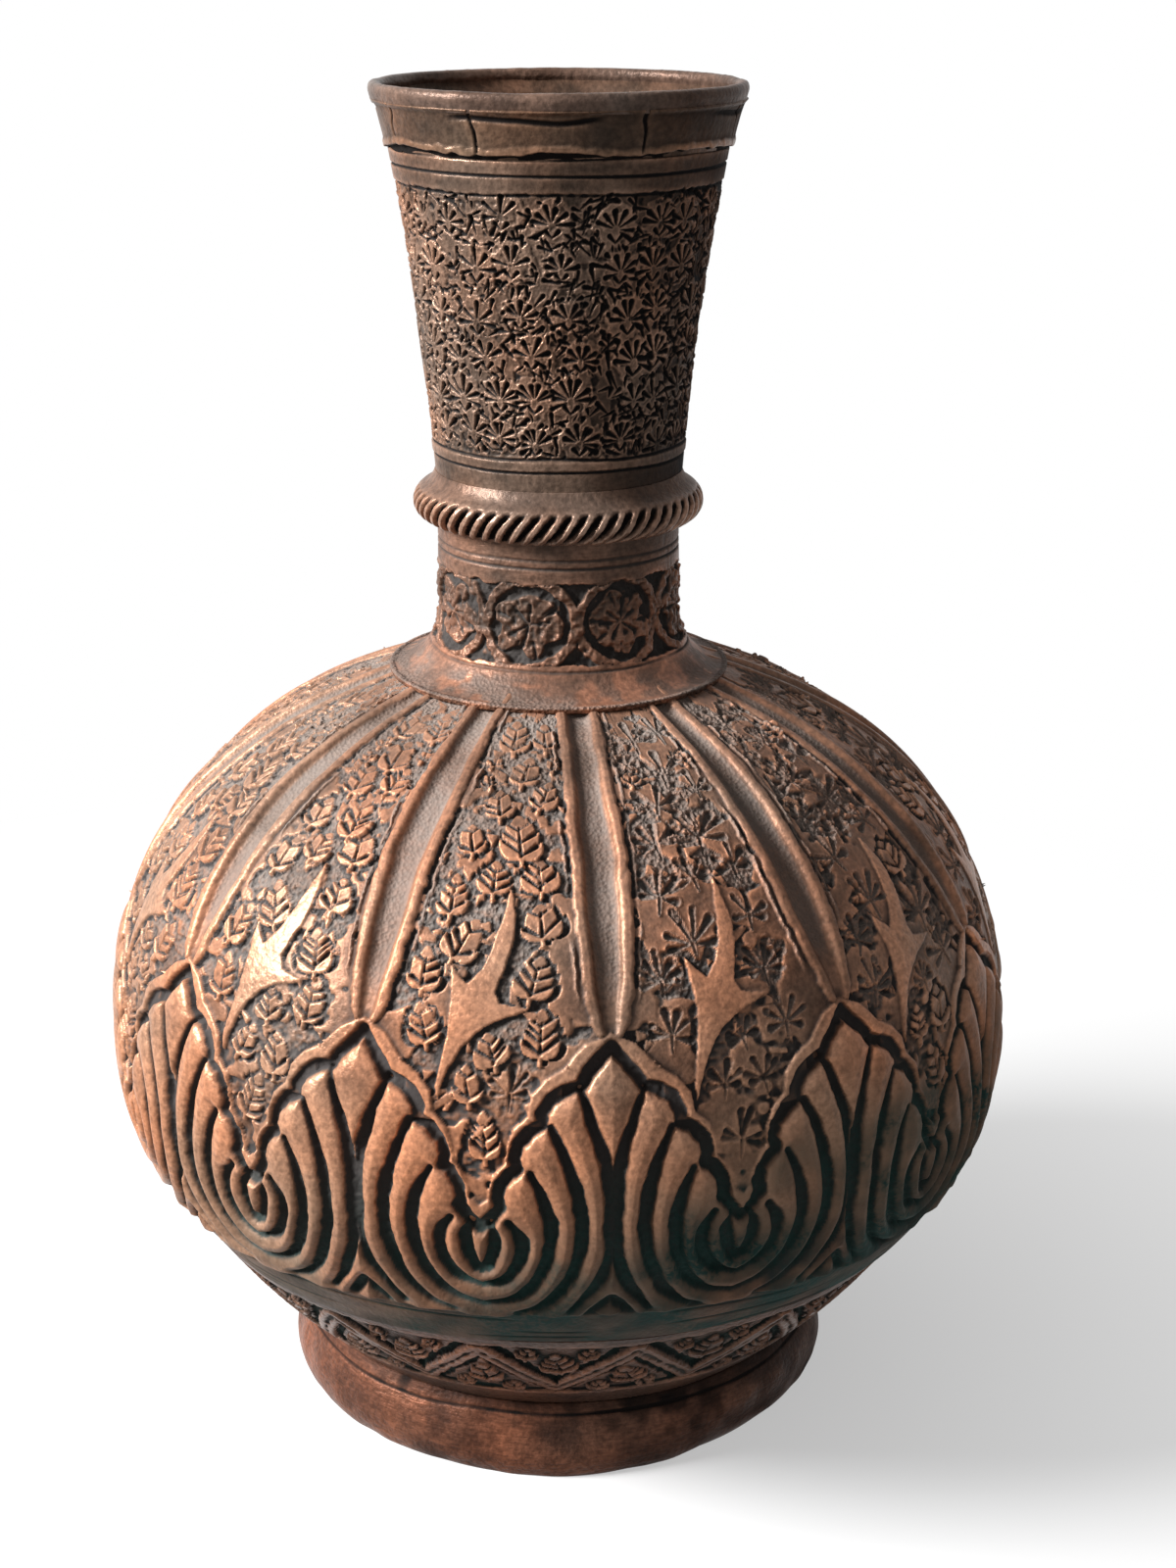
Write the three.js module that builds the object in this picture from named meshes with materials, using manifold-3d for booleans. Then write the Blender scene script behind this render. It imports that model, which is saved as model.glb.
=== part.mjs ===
// A hand-raised copper bottle vase with a fluted shoulder, a girdle of palmettes and a twisted
// rope collar. Millimetres, +Z up, standing on z = 0 with its axis on the Z axis, front towards -Y.
import * as THREE from 'three';
import { mergeVertices } from 'three/addons/utils/BufferGeometryUtils.js';
import Module from 'manifold-3d';

const wasm = await Module();
wasm.setup();

// Clearance between pieces that seat on or in each other, where the solder runs.
const seatGap = 0.3;

// Foot ring: a bulging collar with a turned-in ledge that carries the floor and the cup.
const footHeight = 16.5;
const footRadius = 57.7;
const footBulge = 1.9;
const footWaist = 56.2;
const footWall = 2.2;
const ledgeWidth = 6.5;
const ledgeThickness = 1.8;

// Floor: a shallow domed disc that lies on the ledge, inside the cup.
const discThickness = 1.6;
const discDome = 3;

// Cup: the lower cone, whose rim is turned in under the edge of the body.
const cupHeight = 29.7;
const cupWall = 1.8;
const cupFullness = 1.6;
const cupRimDepth = 6.2;
const edgeStep = 0.5;

// Zigzag strap of the cup, left standing between sunk triangles: shares of the way up the cone.
const zigzagPeaks = 15;
const firstPeak = THREE.MathUtils.degToRad(11.9);
const zigzagBand = [0.24, 0.91];
const zigzagSwing = [0.325, 0.845];
const zigzagHalfWidth = 0.085;
const zigzagDepth = 0.8;
const zigzagBevel = 0.012;

// Body: belly and shoulder raised from one sheet, from its lower edge to the opening at the neck.
const bodyEdgeRadius = 82.2;
const bodyHeight = 118.5;
const bellyRadius = 95.8;
const bellyRise = 35.5;
const bodyWall = 2.4;
const openingRadius = 25;
const edgeFlare = 0.66;
const openingSlope = 0.311;
const edgePull = 12;
const bellyPullDown = 17;
const bellyPullUp = 29;
const openingPull = 66;

// Ornament of the body: flutes down the shoulder, each one ending on the tip of a palmette.
const fluteCount = 12;
const firstFlute = THREE.MathUtils.degToRad(6.2);
const fluteTopWidth = 6.5;
const fluteFootWidth = 7.5;
const fluteSwell = 3.4;
const fluteDepth = 1.4;
const groundDepth = 0.7;

// The palmettes, by lengths along the sheet from its lower edge. Their grooves are nested ovals
// round the valley between two palmettes, and end at the strap that runs over all of them.
const girdleFoot = 12;
const palmettePeak = 70.8;
const palmetteCusp = 35.3;
const lobeNotch = 0.9;
const strapWidth = 2.8;
const ribDepth = 1.6;
const firstOval = 0.31;
const ovalStep = 0.221;
const ovalLevel = 31;
const ovalClimb = 0.29;
const ovalRise = 1.55;
const ovalFall = 1.3;

// The horn-shaped leaf of each panel: shares of half a pitch beside the valley, and lengths along
// the sheet.
const hornOutline = [
  [0.12, 102], [0.01, 89.5], [-0.167, 82.4], [-0.32, 86.6], [-0.34, 59.7],
  [0.05, 75], [0.357, 77.7], [0.09, 81], [0.2, 92],
];
const hornRise = 0.5;
const hornRoot = 1.9;

// Lower neck: the tube that stands on the shoulder, with a skirt that laps over the opening.
const neckRadius = 25;
const neckWall = 1.6;
const lowerNeckHeight = 31.5;
const skirtRadius = 35.3;
const skirtThickness = 1.2;
const skirtHeight = 10;

// Rope collar: a twisted ring, flat at its back, round the joint of the neck tubes.
const ropeStrands = 58;
const ropeHalfHeight = 4.1;
const ropeDepth = 4.6;
const ropeGroove = 0.8;
const ropeLean = 0.55;

// Upper neck: the flaring tube, whose spigot goes down inside the lower neck.
const upperNeckHeight = 80.4;
const spigotLength = 12;
const mouthRadius = 36.7;
const upperNeckWall = 1.1;
const neckPull = 11.5;
const mouthFlare = 4.4;
const mouthPull = 6.9;
const fieldFoot = 13;
const fieldTop = 63.5;
const fieldDepth = 0.4;

// Rim: a strip lapped round the mouth, and the round wire of the lip on top.
const bandHeight = 8.4;
const bandThickness = 0.9;
const lipThickness = 2.8;

// Facets round the plain pieces, and on each flute and strand of the worked ones.
const roundFacets = 48;
const fluteFacets = 16;
const strandFacets = 2;
const peakFacets = 4;

// Levels above the surface, each stacked on the piece below.
const cupFoot = footHeight + seatGap;
const edgeLevel = cupFoot + cupHeight;
const bellyLevel = edgeLevel + bellyRise;
const bodyTop = edgeLevel + bodyHeight;
const neckJoint = bodyTop + lowerNeckHeight;
const mouthLevel = neckJoint + upperNeckHeight;
const bandFoot = mouthLevel - bandHeight;

const copper = { warm: 0x9a6247, brown: 0x6e4f3f, red: 0x84503c, dark: 0x4f3a30 };

function toSolid(geometry) {
  const bare = geometry.clone();
  bare.deleteAttribute('normal');
  bare.deleteAttribute('uv');
  const merged = mergeVertices(bare, 1e-4);
  const corners = merged.index.array;
  const faces = [];
  for (let i = 0; i < corners.length; i += 3) {
    const [a, b, c] = corners.slice(i, i + 3);
    if (a !== b && b !== c && c !== a) faces.push(a, b, c);
  }
  return new wasm.Manifold(new wasm.Mesh({
    numProp: 3,
    vertProperties: new Float32Array(merged.attributes.position.array),
    triVerts: new Uint32Array(faces),
  }));
}

function toGeometry(solid) {
  const mesh = solid.getMesh();
  const geometry = new THREE.BufferGeometry();
  geometry.setAttribute('position', new THREE.BufferAttribute(mesh.vertProperties, 3));
  geometry.setIndex(new THREE.BufferAttribute(mesh.triVerts, 1));
  geometry.computeVertexNormals();
  return geometry;
}

// Turns a list of [radius, height] round the Z axis. The outer side runs upwards.
function turned(outline) {
  const points = outline.map(([radius, height]) => new THREE.Vector2(radius, height));
  return new THREE.LatheGeometry(points, roundFacets).rotateX(Math.PI / 2);
}

// The same, for a ring: its outline closes on itself.
function turnedRing(outline) {
  return turned([...outline, outline[0]]);
}

// A lathe whose every corner is placed by itself, for chased and twisted surfaces.
function worked(rows, columns, place) {
  const blank = Array.from({ length: rows }, (_, row) => new THREE.Vector2(1, row));
  const geometry = new THREE.LatheGeometry(blank, columns);
  const position = geometry.attributes.position;
  for (let column = 0; column <= columns; column++) {
    for (let row = 0; row < rows; row++) {
      const { angle, radius, height } = place(column % columns, row);
      const x = radius * Math.sin(angle);
      const y = -radius * Math.cos(angle);
      position.setXYZ(column * rows + row, x, y, height);
    }
  }
  return geometry;
}

// Outline of the body: two curves that meet upright at the belly.
const lowerBelly = new THREE.CubicBezierCurve(
  new THREE.Vector2(bodyEdgeRadius, edgeLevel),
  new THREE.Vector2(
    bodyEdgeRadius + edgePull * Math.sin(edgeFlare),
    edgeLevel + edgePull * Math.cos(edgeFlare),
  ),
  new THREE.Vector2(bellyRadius, bellyLevel - bellyPullDown),
  new THREE.Vector2(bellyRadius, bellyLevel),
);
const upperBelly = new THREE.CubicBezierCurve(
  new THREE.Vector2(bellyRadius, bellyLevel),
  new THREE.Vector2(bellyRadius, bellyLevel + bellyPullUp),
  new THREE.Vector2(
    openingRadius + openingPull * Math.cos(openingSlope),
    bodyTop - openingPull * Math.sin(openingSlope),
  ),
  new THREE.Vector2(openingRadius, bodyTop),
);

// Share of the way along a curve at which it reaches a height, or a radius on its way in.
function shareAt(curve, passed) {
  let low = 0;
  let high = 1;
  for (let step = 0; step < 40; step++) {
    const middle = (low + high) / 2;
    if (passed(curve.getPoint(middle), middle)) high = middle;
    else low = middle;
  }
  return low;
}

// Point of the body's outline, moved off it by a distance along its normal.
function offOutline(curve, share, distance) {
  const point = curve.getPoint(share);
  const along = curve.getTangent(share);
  return [point.x + along.y * distance, point.y - along.x * distance];
}

function bodySurface(level, distance) {
  const curve = level < bellyLevel ? lowerBelly : upperBelly;
  const share = shareAt(curve, (point) => point.y > level);
  return offOutline(curve, share, distance);
}

function shoulderAtRadius(radius, distance) {
  const share = shareAt(upperBelly, (point) => point.x < radius);
  return offOutline(upperBelly, share, distance);
}

// Point of the body at a length along the sheet from its lower edge, lifted off the outline.
function sheetPoint(run, lift) {
  const lowerLength = lowerBelly.getLength();
  const curve = run < lowerLength ? lowerBelly : upperBelly;
  const along = run < lowerLength ? run : run - lowerLength;
  return offOutline(curve, curve.getUtoTmapping(along / curve.getLength()), lift);
}

function footRing() {
  const ledgeInside = footWaist - ledgeWidth;
  const bulgeLevel = footHeight * 0.42;
  return turnedRing([
    [footRadius, 0],
    [footRadius + footBulge * 0.8, bulgeLevel * 0.5],
    [footRadius + footBulge, bulgeLevel],
    [footWaist + footBulge * 0.65, footHeight * 0.72],
    [footWaist, footHeight],
    [ledgeInside, footHeight],
    [ledgeInside, footHeight - ledgeThickness],
    [footWaist - footWall, footHeight - ledgeThickness - footWall / 2],
    [footRadius + footBulge - footWall, bulgeLevel],
    [footRadius - footWall, 0],
  ]);
}

function baseDisc() {
  const radius = footWaist - cupWall - seatGap;
  const under = footHeight + seatGap;
  const rise = (share) => discDome * (1 - share * share);
  const shares = [0, 0.55, 1];
  const bottom = shares.map((share) => [radius * share, under + rise(share)]);
  const top = shares.map((share) => [radius * share, under + rise(share) + discThickness]);
  return turned([...bottom, ...top.reverse()]);
}

// Levels of the body's inner wall: its edge, the rim of the cup, and shares of the way up.
const innerLevels = [0, cupRimDepth / bodyHeight, 0.2, 0.38, 0.52, 0.65, 0.76, 0.86, 0.94];

function baseCup() {
  const edge = bodyEdgeRadius - edgeStep;
  const under = edgeLevel - seatGap;
  const cone = (share) => [
    THREE.MathUtils.lerp(footWaist, edge, share) + cupFullness * Math.sin(Math.PI * share),
    THREE.MathUtils.lerp(cupFoot, under, share),
  ];
  const slope = new THREE.Vector2(edge - footWaist, under - cupFoot).normalize();
  const sunkCone = (share, depth) => {
    const [radius, height] = cone(share);
    return [radius - slope.y * depth, height + slope.x * depth];
  };
  // The strap's middle at a column: a peak, the way down, a valley, the way up.
  const zigzagRows = (column) => {
    const swing = Math.abs(column % peakFacets - peakFacets / 2) / (peakFacets / 2);
    const middle = THREE.MathUtils.lerp(...zigzagSwing, swing);
    const [low, high] = zigzagBand;
    const strapLow = Math.max(middle - zigzagHalfWidth, low + 3 * zigzagBevel);
    const strapHigh = Math.min(middle + zigzagHalfWidth, high - 3 * zigzagBevel);
    return [
      [low, 0], [low + zigzagBevel, zigzagDepth],
      [strapLow - zigzagBevel, zigzagDepth], [strapLow, 0],
      [strapHigh, 0], [strapHigh + zigzagBevel, zigzagDepth],
      [high - zigzagBevel, zigzagDepth], [high, 0],
    ];
  };
  const tuck = -bodyWall - seatGap;
  const [ledge, ledgeLevel] = bodySurface(edgeLevel, tuck);
  const [rim, rimLevel] = bodySurface(edgeLevel + cupRimDepth, tuck);
  const inside = [
    [ledge - cupWall, under - cupWall],
    [cone(0.5)[0] - cupWall * 1.4, cone(0.5)[1]],
    [footWaist - cupWall, cupFoot],
  ];
  const back = [
    cone(1),
    [ledge, under],
    [ledge, ledgeLevel],
    [rim, rimLevel],
    [rim - cupWall, rimLevel],
    ...inside,
    cone(0),
  ];
  const front = [[0, 0], ...zigzagRows(0)];
  return worked(front.length + back.length, zigzagPeaks * peakFacets, (column, row) => {
    const strap = [[0, 0], ...zigzagRows(column)];
    const [radius, height] = row < front.length
      ? sunkCone(...strap[row])
      : back[row - front.length];
    return { angle: firstPeak + 2 * Math.PI * column / (zigzagPeaks * peakFacets), radius, height };
  });
}

// Distance of a groove from the valley, at a length along the sheet. The first oval is the smallest,
// and beyond its ends a groove keeps beside the valley.
function grooveAt(number, run) {
  const width = (firstOval + ovalStep * (number - 1)) * halfPitch;
  const above = run - ovalLevel - ovalClimb * width;
  const reach = above / (width * (above > 0 ? ovalRise : ovalFall));
  return Math.max(width * Math.sqrt(Math.max(0, 1 - reach * reach)), closestColumns * number);
}

// Columns of the girdle from the axis of a palmette to the valley: odd ones run in a groove, even
// ones on the rib between two grooves.
function ribAt(column, run) {
  const step = Math.abs(column);
  const last = fluteFacets / 2;
  if (step === 0) return halfPitch;
  if (step === last) return 0;
  const inner = grooveAt((last - step + (step % 2)) / 2, run);
  if (step % 2 === 1) return inner;
  const outer = grooveAt((last - step) / 2 + 1, run);
  return (inner + outer) / 2;
}

// Length along the sheet at which a column meets the inner edge of the strap, with the lobes of the
// strap on the ribs and its notches on the grooves.
function strapFoot(column) {
  let low = girdleFoot;
  let high = palmettePeak + strapWidth;
  for (let step = 0; step < 40; step++) {
    const middle = (low + high) / 2;
    const share = ribAt(column, middle) / halfPitch;
    const edge = palmetteCusp + (palmettePeak - palmetteCusp) * Math.sin(share * Math.PI / 2);
    if (middle > edge) high = middle;
    else low = middle;
  }
  return low + (column % 2 === 0 ? lobeNotch : -lobeNotch);
}

// Turn of a place on the girdle, as a share of the pitch from the axis of the palmette.
function girdleTurn(column, run) {
  return Math.sign(column) * (1 - ribAt(column, run) / halfPitch) / 2;
}

// Columns of the shoulder: the channel, its two raised edges and the leaf panel beside them.
function flutePlace(column, radius, rise) {
  const edges = [0, 0.33, 0.6, 0.85, 1.08];
  const last = edges.length - 1;
  const halfPitch = Math.PI * radius / fluteCount;
  const swell = fluteSwell * Math.sin(Math.PI * rise);
  const halfWidth = (THREE.MathUtils.lerp(fluteFootWidth, fluteTopWidth, rise) + swell) / 2;
  const step = Math.abs(column);
  const spread = (step - last) / (fluteFacets / 2 - last);
  const distance = step <= last
    ? edges[step] * halfWidth
    : THREE.MathUtils.lerp(edges[last] * halfWidth, halfPitch, spread);
  return Math.sign(column) * distance / (2 * halfPitch);
}

const halfPitch = Math.PI * bellyRadius / fluteCount;
const closestColumns = 0.35;
const ribRises = [0, 0.12, 0.32, 0.56, 0.8, 1];
const strapRows = [
  { lift: 0.25, depth: ribDepth, settled: 0.15 },
  { lift: 0.5, depth: 0, settled: 0.4 },
  { lift: 1.1, depth: 0, settled: 0.7 },
];
const shoulderRises = [0, 0.14, 0.36, 0.6, 0.82, 1];

function ribPoint(column, rise) {
  const run = THREE.MathUtils.lerp(girdleFoot, strapFoot(column), rise);
  const isGroove = Math.abs(column) % 2 === 1;
  const depth = isGroove && rise > 0 ? ribDepth : 0;
  return [girdleTurn(column, run), sheetPoint(run, -depth)];
}

function strapPoint(column, { lift, depth, settled }) {
  const run = strapFoot(column) + lift * strapWidth;
  const [radius] = sheetPoint(run, 0);
  const start = girdleTurn(column, strapFoot(column));
  const across = THREE.MathUtils.lerp(start, flutePlace(column, radius, 0), settled);
  return [across, sheetPoint(run, -depth)];
}

function shoulderPoint(column, rise) {
  const [, start] = sheetPoint(strapFoot(column) + 1.5 * strapWidth, 0);
  const [, end] = shoulderAtRadius(skirtRadius, 0);
  const level = THREE.MathUtils.lerp(start, end, rise);
  const [radius] = bodySurface(level, 0);
  const channel = [fluteDepth, 0.7 * fluteDepth, 0, 0];
  const fade = Math.min(1, 0.3 + (1 - rise) * 6);
  const depth = channel[Math.abs(column)] ?? groundDepth;
  return [flutePlace(column, radius, rise), bodySurface(level, -depth * fade)];
}

// A horn leaf as a thick patch: its outline is drawn flat and then laid on the sheet, rooted in it.
function hornLeaf(panel) {
  const shape = new THREE.Shape(hornOutline.map(([share, run]) => new THREE.Vector2(share, run)));
  const depth = hornRoot + hornRise;
  const geometry = new THREE.ExtrudeGeometry(shape, { depth, bevelEnabled: false });
  const position = geometry.attributes.position;
  const valley = firstFlute + (panel + 0.5) * 2 * Math.PI / fluteCount;
  for (let i = 0; i < position.count; i++) {
    const [radius, height] = sheetPoint(position.getY(i), position.getZ(i) - hornRoot);
    const angle = valley + position.getX(i) * Math.PI / fluteCount;
    position.setXYZ(i, radius * Math.sin(angle), -radius * Math.cos(angle), height);
  }
  return toSolid(geometry);
}

function bodyShell() {
  const rows = [
    (column) => [column / fluteFacets, [0, edgeLevel]],
    (column) => [column / fluteFacets, [bodyEdgeRadius, edgeLevel]],
    ...ribRises.map((rise) => (column) => ribPoint(column, rise)),
    ...strapRows.map((strap) => (column) => strapPoint(column, strap)),
    ...shoulderRises.map((rise) => (column) => shoulderPoint(column, rise)),
    (column) => [column / fluteFacets, [openingRadius, bodyTop]],
    (column) => [column / fluteFacets, [0, bodyTop]],
  ];
  const outside = worked(rows.length, fluteCount * fluteFacets, (column, row) => {
    const flute = Math.floor(column / fluteFacets + 0.5);
    const inFlute = column - flute * fluteFacets;
    const [across, [radius, height]] = rows[row](inFlute);
    return { angle: firstFlute + (flute + across) * 2 * Math.PI / fluteCount, radius, height };
  });
  const wall = innerLevels.map((share) => bodySurface(edgeLevel + bodyHeight * share, -bodyWall));
  const inside = turned([
    [0, edgeLevel - bodyWall],
    [wall[0][0], edgeLevel - bodyWall],
    ...wall,
    offOutline(upperBelly, 1, -bodyWall),
    [openingRadius, bodyTop],
    [openingRadius, bodyTop + bodyWall],
    [0, bodyTop + bodyWall],
  ]);
  const horns = Array.from({ length: fluteCount }, (_, panel) => hornLeaf(panel));
  const worn = wasm.Manifold.union([toSolid(outside), ...horns]);
  return toGeometry(worn.subtract(toSolid(inside)));
}

function lowerNeck() {
  const under = [1, 0.6, 0.15].map((share) => {
    const radius = THREE.MathUtils.lerp(neckRadius + neckWall, skirtRadius, share);
    return shoulderAtRadius(radius, seatGap);
  });
  const bore = neckRadius - neckWall;
  const skirtEdge = shoulderAtRadius(skirtRadius, seatGap + skirtThickness);
  const skirtTop = bodyTop + skirtHeight;
  const hollow = (share) => [
    THREE.MathUtils.lerp(skirtEdge[0], neckRadius, Math.sin(share * Math.PI / 2)),
    THREE.MathUtils.lerp(skirtEdge[1], skirtTop, 1 - Math.cos(share * Math.PI / 2)),
  ];
  return turnedRing([
    ...under.slice(0, 1),
    ...[0, 0.3, 0.55, 0.8, 1].map(hollow),
    [neckRadius, neckJoint],
    [bore, neckJoint],
    [bore, bodyTop + seatGap],
    [openingRadius, bodyTop + seatGap],
    ...under.slice(1).reverse(),
  ]);
}

function ropeCollar() {
  const back = neckRadius + seatGap;
  const section = [-90, -50, -16, 16, 50, 90].map((degrees) => {
    const turn = THREE.MathUtils.degToRad(degrees);
    return [back + ropeDepth * Math.cos(turn), ropeHalfHeight * Math.sin(turn)];
  });
  const closed = [...section, section[0]];
  return worked(closed.length, ropeStrands * strandFacets, (column, row) => {
    const [radius, rise] = closed[row];
    const isGroove = column % strandFacets !== 0;
    const isFront = row > 0 && row < section.length - 1;
    const depth = isGroove && isFront ? ropeGroove : 0;
    const lean = ropeLean * rise / (neckRadius + ropeDepth);
    const angle = 2 * Math.PI * column / (ropeStrands * strandFacets) + lean;
    return { angle, radius: radius - depth, height: neckJoint + rise };
  });
}

// Outline of the upper neck's outside, from the joint to the top edge of the rim strip.
const neckCurve = new THREE.CubicBezierCurve(
  new THREE.Vector2(neckRadius, neckJoint),
  new THREE.Vector2(neckRadius, neckJoint + neckPull),
  new THREE.Vector2(mouthRadius - mouthFlare, mouthLevel - mouthPull),
  new THREE.Vector2(mouthRadius, mouthLevel),
);

// Point at a level on the neck's wall, a distance off its outline.
function neckSurface(level, distance) {
  const share = shareAt(neckCurve, (_, at) => offOutline(neckCurve, at, distance)[1] > level);
  return offOutline(neckCurve, share, distance);
}

function upperNeck() {
  const field = [0, 0.4, 0.75, 1].map((share) => {
    const level = THREE.MathUtils.lerp(fieldFoot + fieldDepth, fieldTop - fieldDepth, share);
    return neckSurface(neckJoint + level, -fieldDepth);
  });
  const visible = [
    neckSurface(neckJoint + fieldFoot, 0),
    ...field,
    neckSurface(neckJoint + fieldTop, 0),
    neckSurface(bandFoot - seatGap, 0),
  ];
  const tuck = bandThickness / 2 + seatGap;
  const tucked = [bandFoot - seatGap, mouthLevel - bandHeight / 2, mouthLevel].map((level) => {
    return neckSurface(level, -tuck);
  });
  const wall = [1, 0.92, 0.7, 0.35].map((share) => {
    return neckSurface(THREE.MathUtils.lerp(neckJoint, mouthLevel, share), -tuck - upperNeckWall);
  });
  const spigot = neckRadius - neckWall - seatGap;
  const bore = spigot - upperNeckWall;
  return turnedRing([
    [spigot, neckJoint - spigotLength],
    [spigot, neckJoint + seatGap],
    [neckRadius, neckJoint + seatGap],
    ...visible,
    ...tucked,
    ...wall,
    [bore, neckJoint + upperNeckWall],
    [bore, neckJoint - spigotLength],
  ]);
}

function rimBand() {
  const levels = [bandFoot, mouthLevel - bandHeight / 2, mouthLevel];
  const outside = levels.map((level) => neckSurface(level, bandThickness / 2));
  const inside = levels.map((level) => neckSurface(level, -bandThickness / 2));
  return turnedRing([...outside, ...inside.reverse()]);
}

function lipWire() {
  const wire = lipThickness / 2;
  const centre = mouthRadius + bandThickness / 2 - wire * 0.7;
  const geometry = new THREE.TorusGeometry(centre, wire, 8, roundFacets);
  return geometry.translate(0, 0, mouthLevel + seatGap + wire);
}

const group = new THREE.Group();

function addPiece(name, geometry, color, roughness) {
  const material = new THREE.MeshStandardMaterial({ color, roughness, metalness: 0.9 });
  const mesh = new THREE.Mesh(geometry, material);
  mesh.name = name;
  group.add(mesh);
}

addPiece('foot_ring', footRing(), copper.red, 0.5);
addPiece('base_disc', baseDisc(), copper.dark, 0.6);
addPiece('base_cup', baseCup(), copper.red, 0.5);
addPiece('body_shell', bodyShell(), copper.warm, 0.42);
addPiece('lower_neck', lowerNeck(), copper.brown, 0.5);
addPiece('rope_collar', ropeCollar(), copper.warm, 0.45);
addPiece('upper_neck', upperNeck(), copper.brown, 0.5);
addPiece('rim_band', rimBand(), copper.brown, 0.48);
addPiece('lip_wire', lipWire(), copper.warm, 0.45);

export default group;
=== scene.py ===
# %% [markdown]
# # A chased copper vase
# This vase was raised by hand from sheet copper and covered with chased ornament: a girdle of
# palmettes, fluted channels with leaf panels between them, a band of rosettes and a field of small
# cut leaves. The lesson dresses the plain solids of the vase with that work, piece by piece.
# It starts with the solids, which stay where they are and give every level of the vase.

# %% Load the vase
import math

import bpy
import numpy as np
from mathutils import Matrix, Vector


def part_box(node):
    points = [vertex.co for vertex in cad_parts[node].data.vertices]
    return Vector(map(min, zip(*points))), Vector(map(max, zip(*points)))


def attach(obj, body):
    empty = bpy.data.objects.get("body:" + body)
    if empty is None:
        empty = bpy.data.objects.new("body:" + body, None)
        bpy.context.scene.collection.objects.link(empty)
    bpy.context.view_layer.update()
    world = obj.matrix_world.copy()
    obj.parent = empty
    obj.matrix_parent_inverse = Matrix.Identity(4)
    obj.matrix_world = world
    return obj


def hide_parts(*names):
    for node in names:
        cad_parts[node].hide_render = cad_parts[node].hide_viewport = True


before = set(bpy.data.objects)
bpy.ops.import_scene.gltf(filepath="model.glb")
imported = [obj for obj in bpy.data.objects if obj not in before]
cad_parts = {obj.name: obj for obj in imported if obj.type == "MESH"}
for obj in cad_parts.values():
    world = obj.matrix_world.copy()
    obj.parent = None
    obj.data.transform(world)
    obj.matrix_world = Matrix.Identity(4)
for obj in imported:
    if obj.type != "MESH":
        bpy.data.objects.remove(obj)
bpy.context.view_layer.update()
MM = 0.001
coarse = 1
print("nodes:", ", ".join(sorted(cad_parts)))

# %% [markdown]
# The camera comes first, because every later choice is judged through it. It looks down on the
# shoulder by about nineteen degrees from a little over half a metre away, which shows the front of
# the mouth's inside. The picture is a little wider on the right of the vase than on its left, so
# the lens is shifted by that much.

# %% Camera
picture_size = (1200, 1600)
focal_pixels = 2668.7
axis_offset_pixels = 30
camera_tilt = 18.88
camera_place = (0, -0.5305, 0.3152)

lens = bpy.data.cameras.new("portrait_lens")
lens.sensor_fit = "VERTICAL"
lens.sensor_height = 36
lens.lens = focal_pixels / picture_size[1] * lens.sensor_height
lens.shift_x = axis_offset_pixels / picture_size[1]
camera = bpy.data.objects.new("camera", lens)
camera.location = camera_place
camera.rotation_euler = (math.radians(90 - camera_tilt), 0, 0)
bpy.context.collection.objects.link(camera)
bpy.context.scene.camera = camera
print("lens", round(lens.lens, 1), "mm")

# %% [markdown]
# Chased sheet copper is a thin skin with relief. A good way to hold it is a grid: rows run up the
# outline of the piece, columns run round its axis, and every place of the grid carries one number,
# its lift along the outward normal in millimetres. Punch marks and grooves are then only sums on
# that grid, and the grid becomes a mesh at the end. The outline itself is a line of radius and
# height, made from a few curves.

# %% Outlines
def bezier(corners, count=400):
    """A curve of any order through the pull of its corners, as radius and height."""
    share = np.linspace(0, 1, count)[:, None]
    points = [np.array(corner, float) + 0 * share for corner in corners]
    while len(points) > 1:
        points = [a + (b - a) * share for a, b in zip(points, points[1:])]
    return points[0]


def even_steps(line, step):
    """The same line with its places an even step apart, and how far along it each place is."""
    lengths = np.hypot(*np.diff(line, axis=0).T)
    run = np.concatenate([[0], np.cumsum(lengths)])
    at = np.linspace(0, run[-1], max(3, round(run[-1] / step) + 1))
    return np.column_stack([np.interp(at, run, line[:, side]) for side in (0, 1)]), at


def normals(line):
    """Outward normals of a line that runs upwards on the outside."""
    along = np.gradient(line, axis=0)
    along /= np.linalg.norm(along, axis=1, keepdims=True)
    return np.column_stack([along[:, 1], -along[:, 0]])


def level(node, end):
    """Lowest (0) or highest (1) level of a solid in millimetres."""
    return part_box(node)[end][2] / MM


# %% [markdown]
# A hand-made thing is never even. Smooth random hills, closed round the axis, bend every line a
# little, fray the edges and dent the sheet. They come from a small table of random numbers with a
# fixed seed, eased between its entries, so that each run makes the same vase.

# %% Unevenness
def unit(value):
    """The value, kept from 0 to 1."""
    return np.clip(value, 0, 1)


def ease(value, start, end):
    """0 before start, 1 after end, and a smooth step between."""
    share = unit((value - start) / (end - start))
    return share * share * (3 - 2 * share)


def fade(value, start, end):
    """1 before start, 0 after end, and a smooth step between."""
    return 1 - ease(value, start, end)


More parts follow.
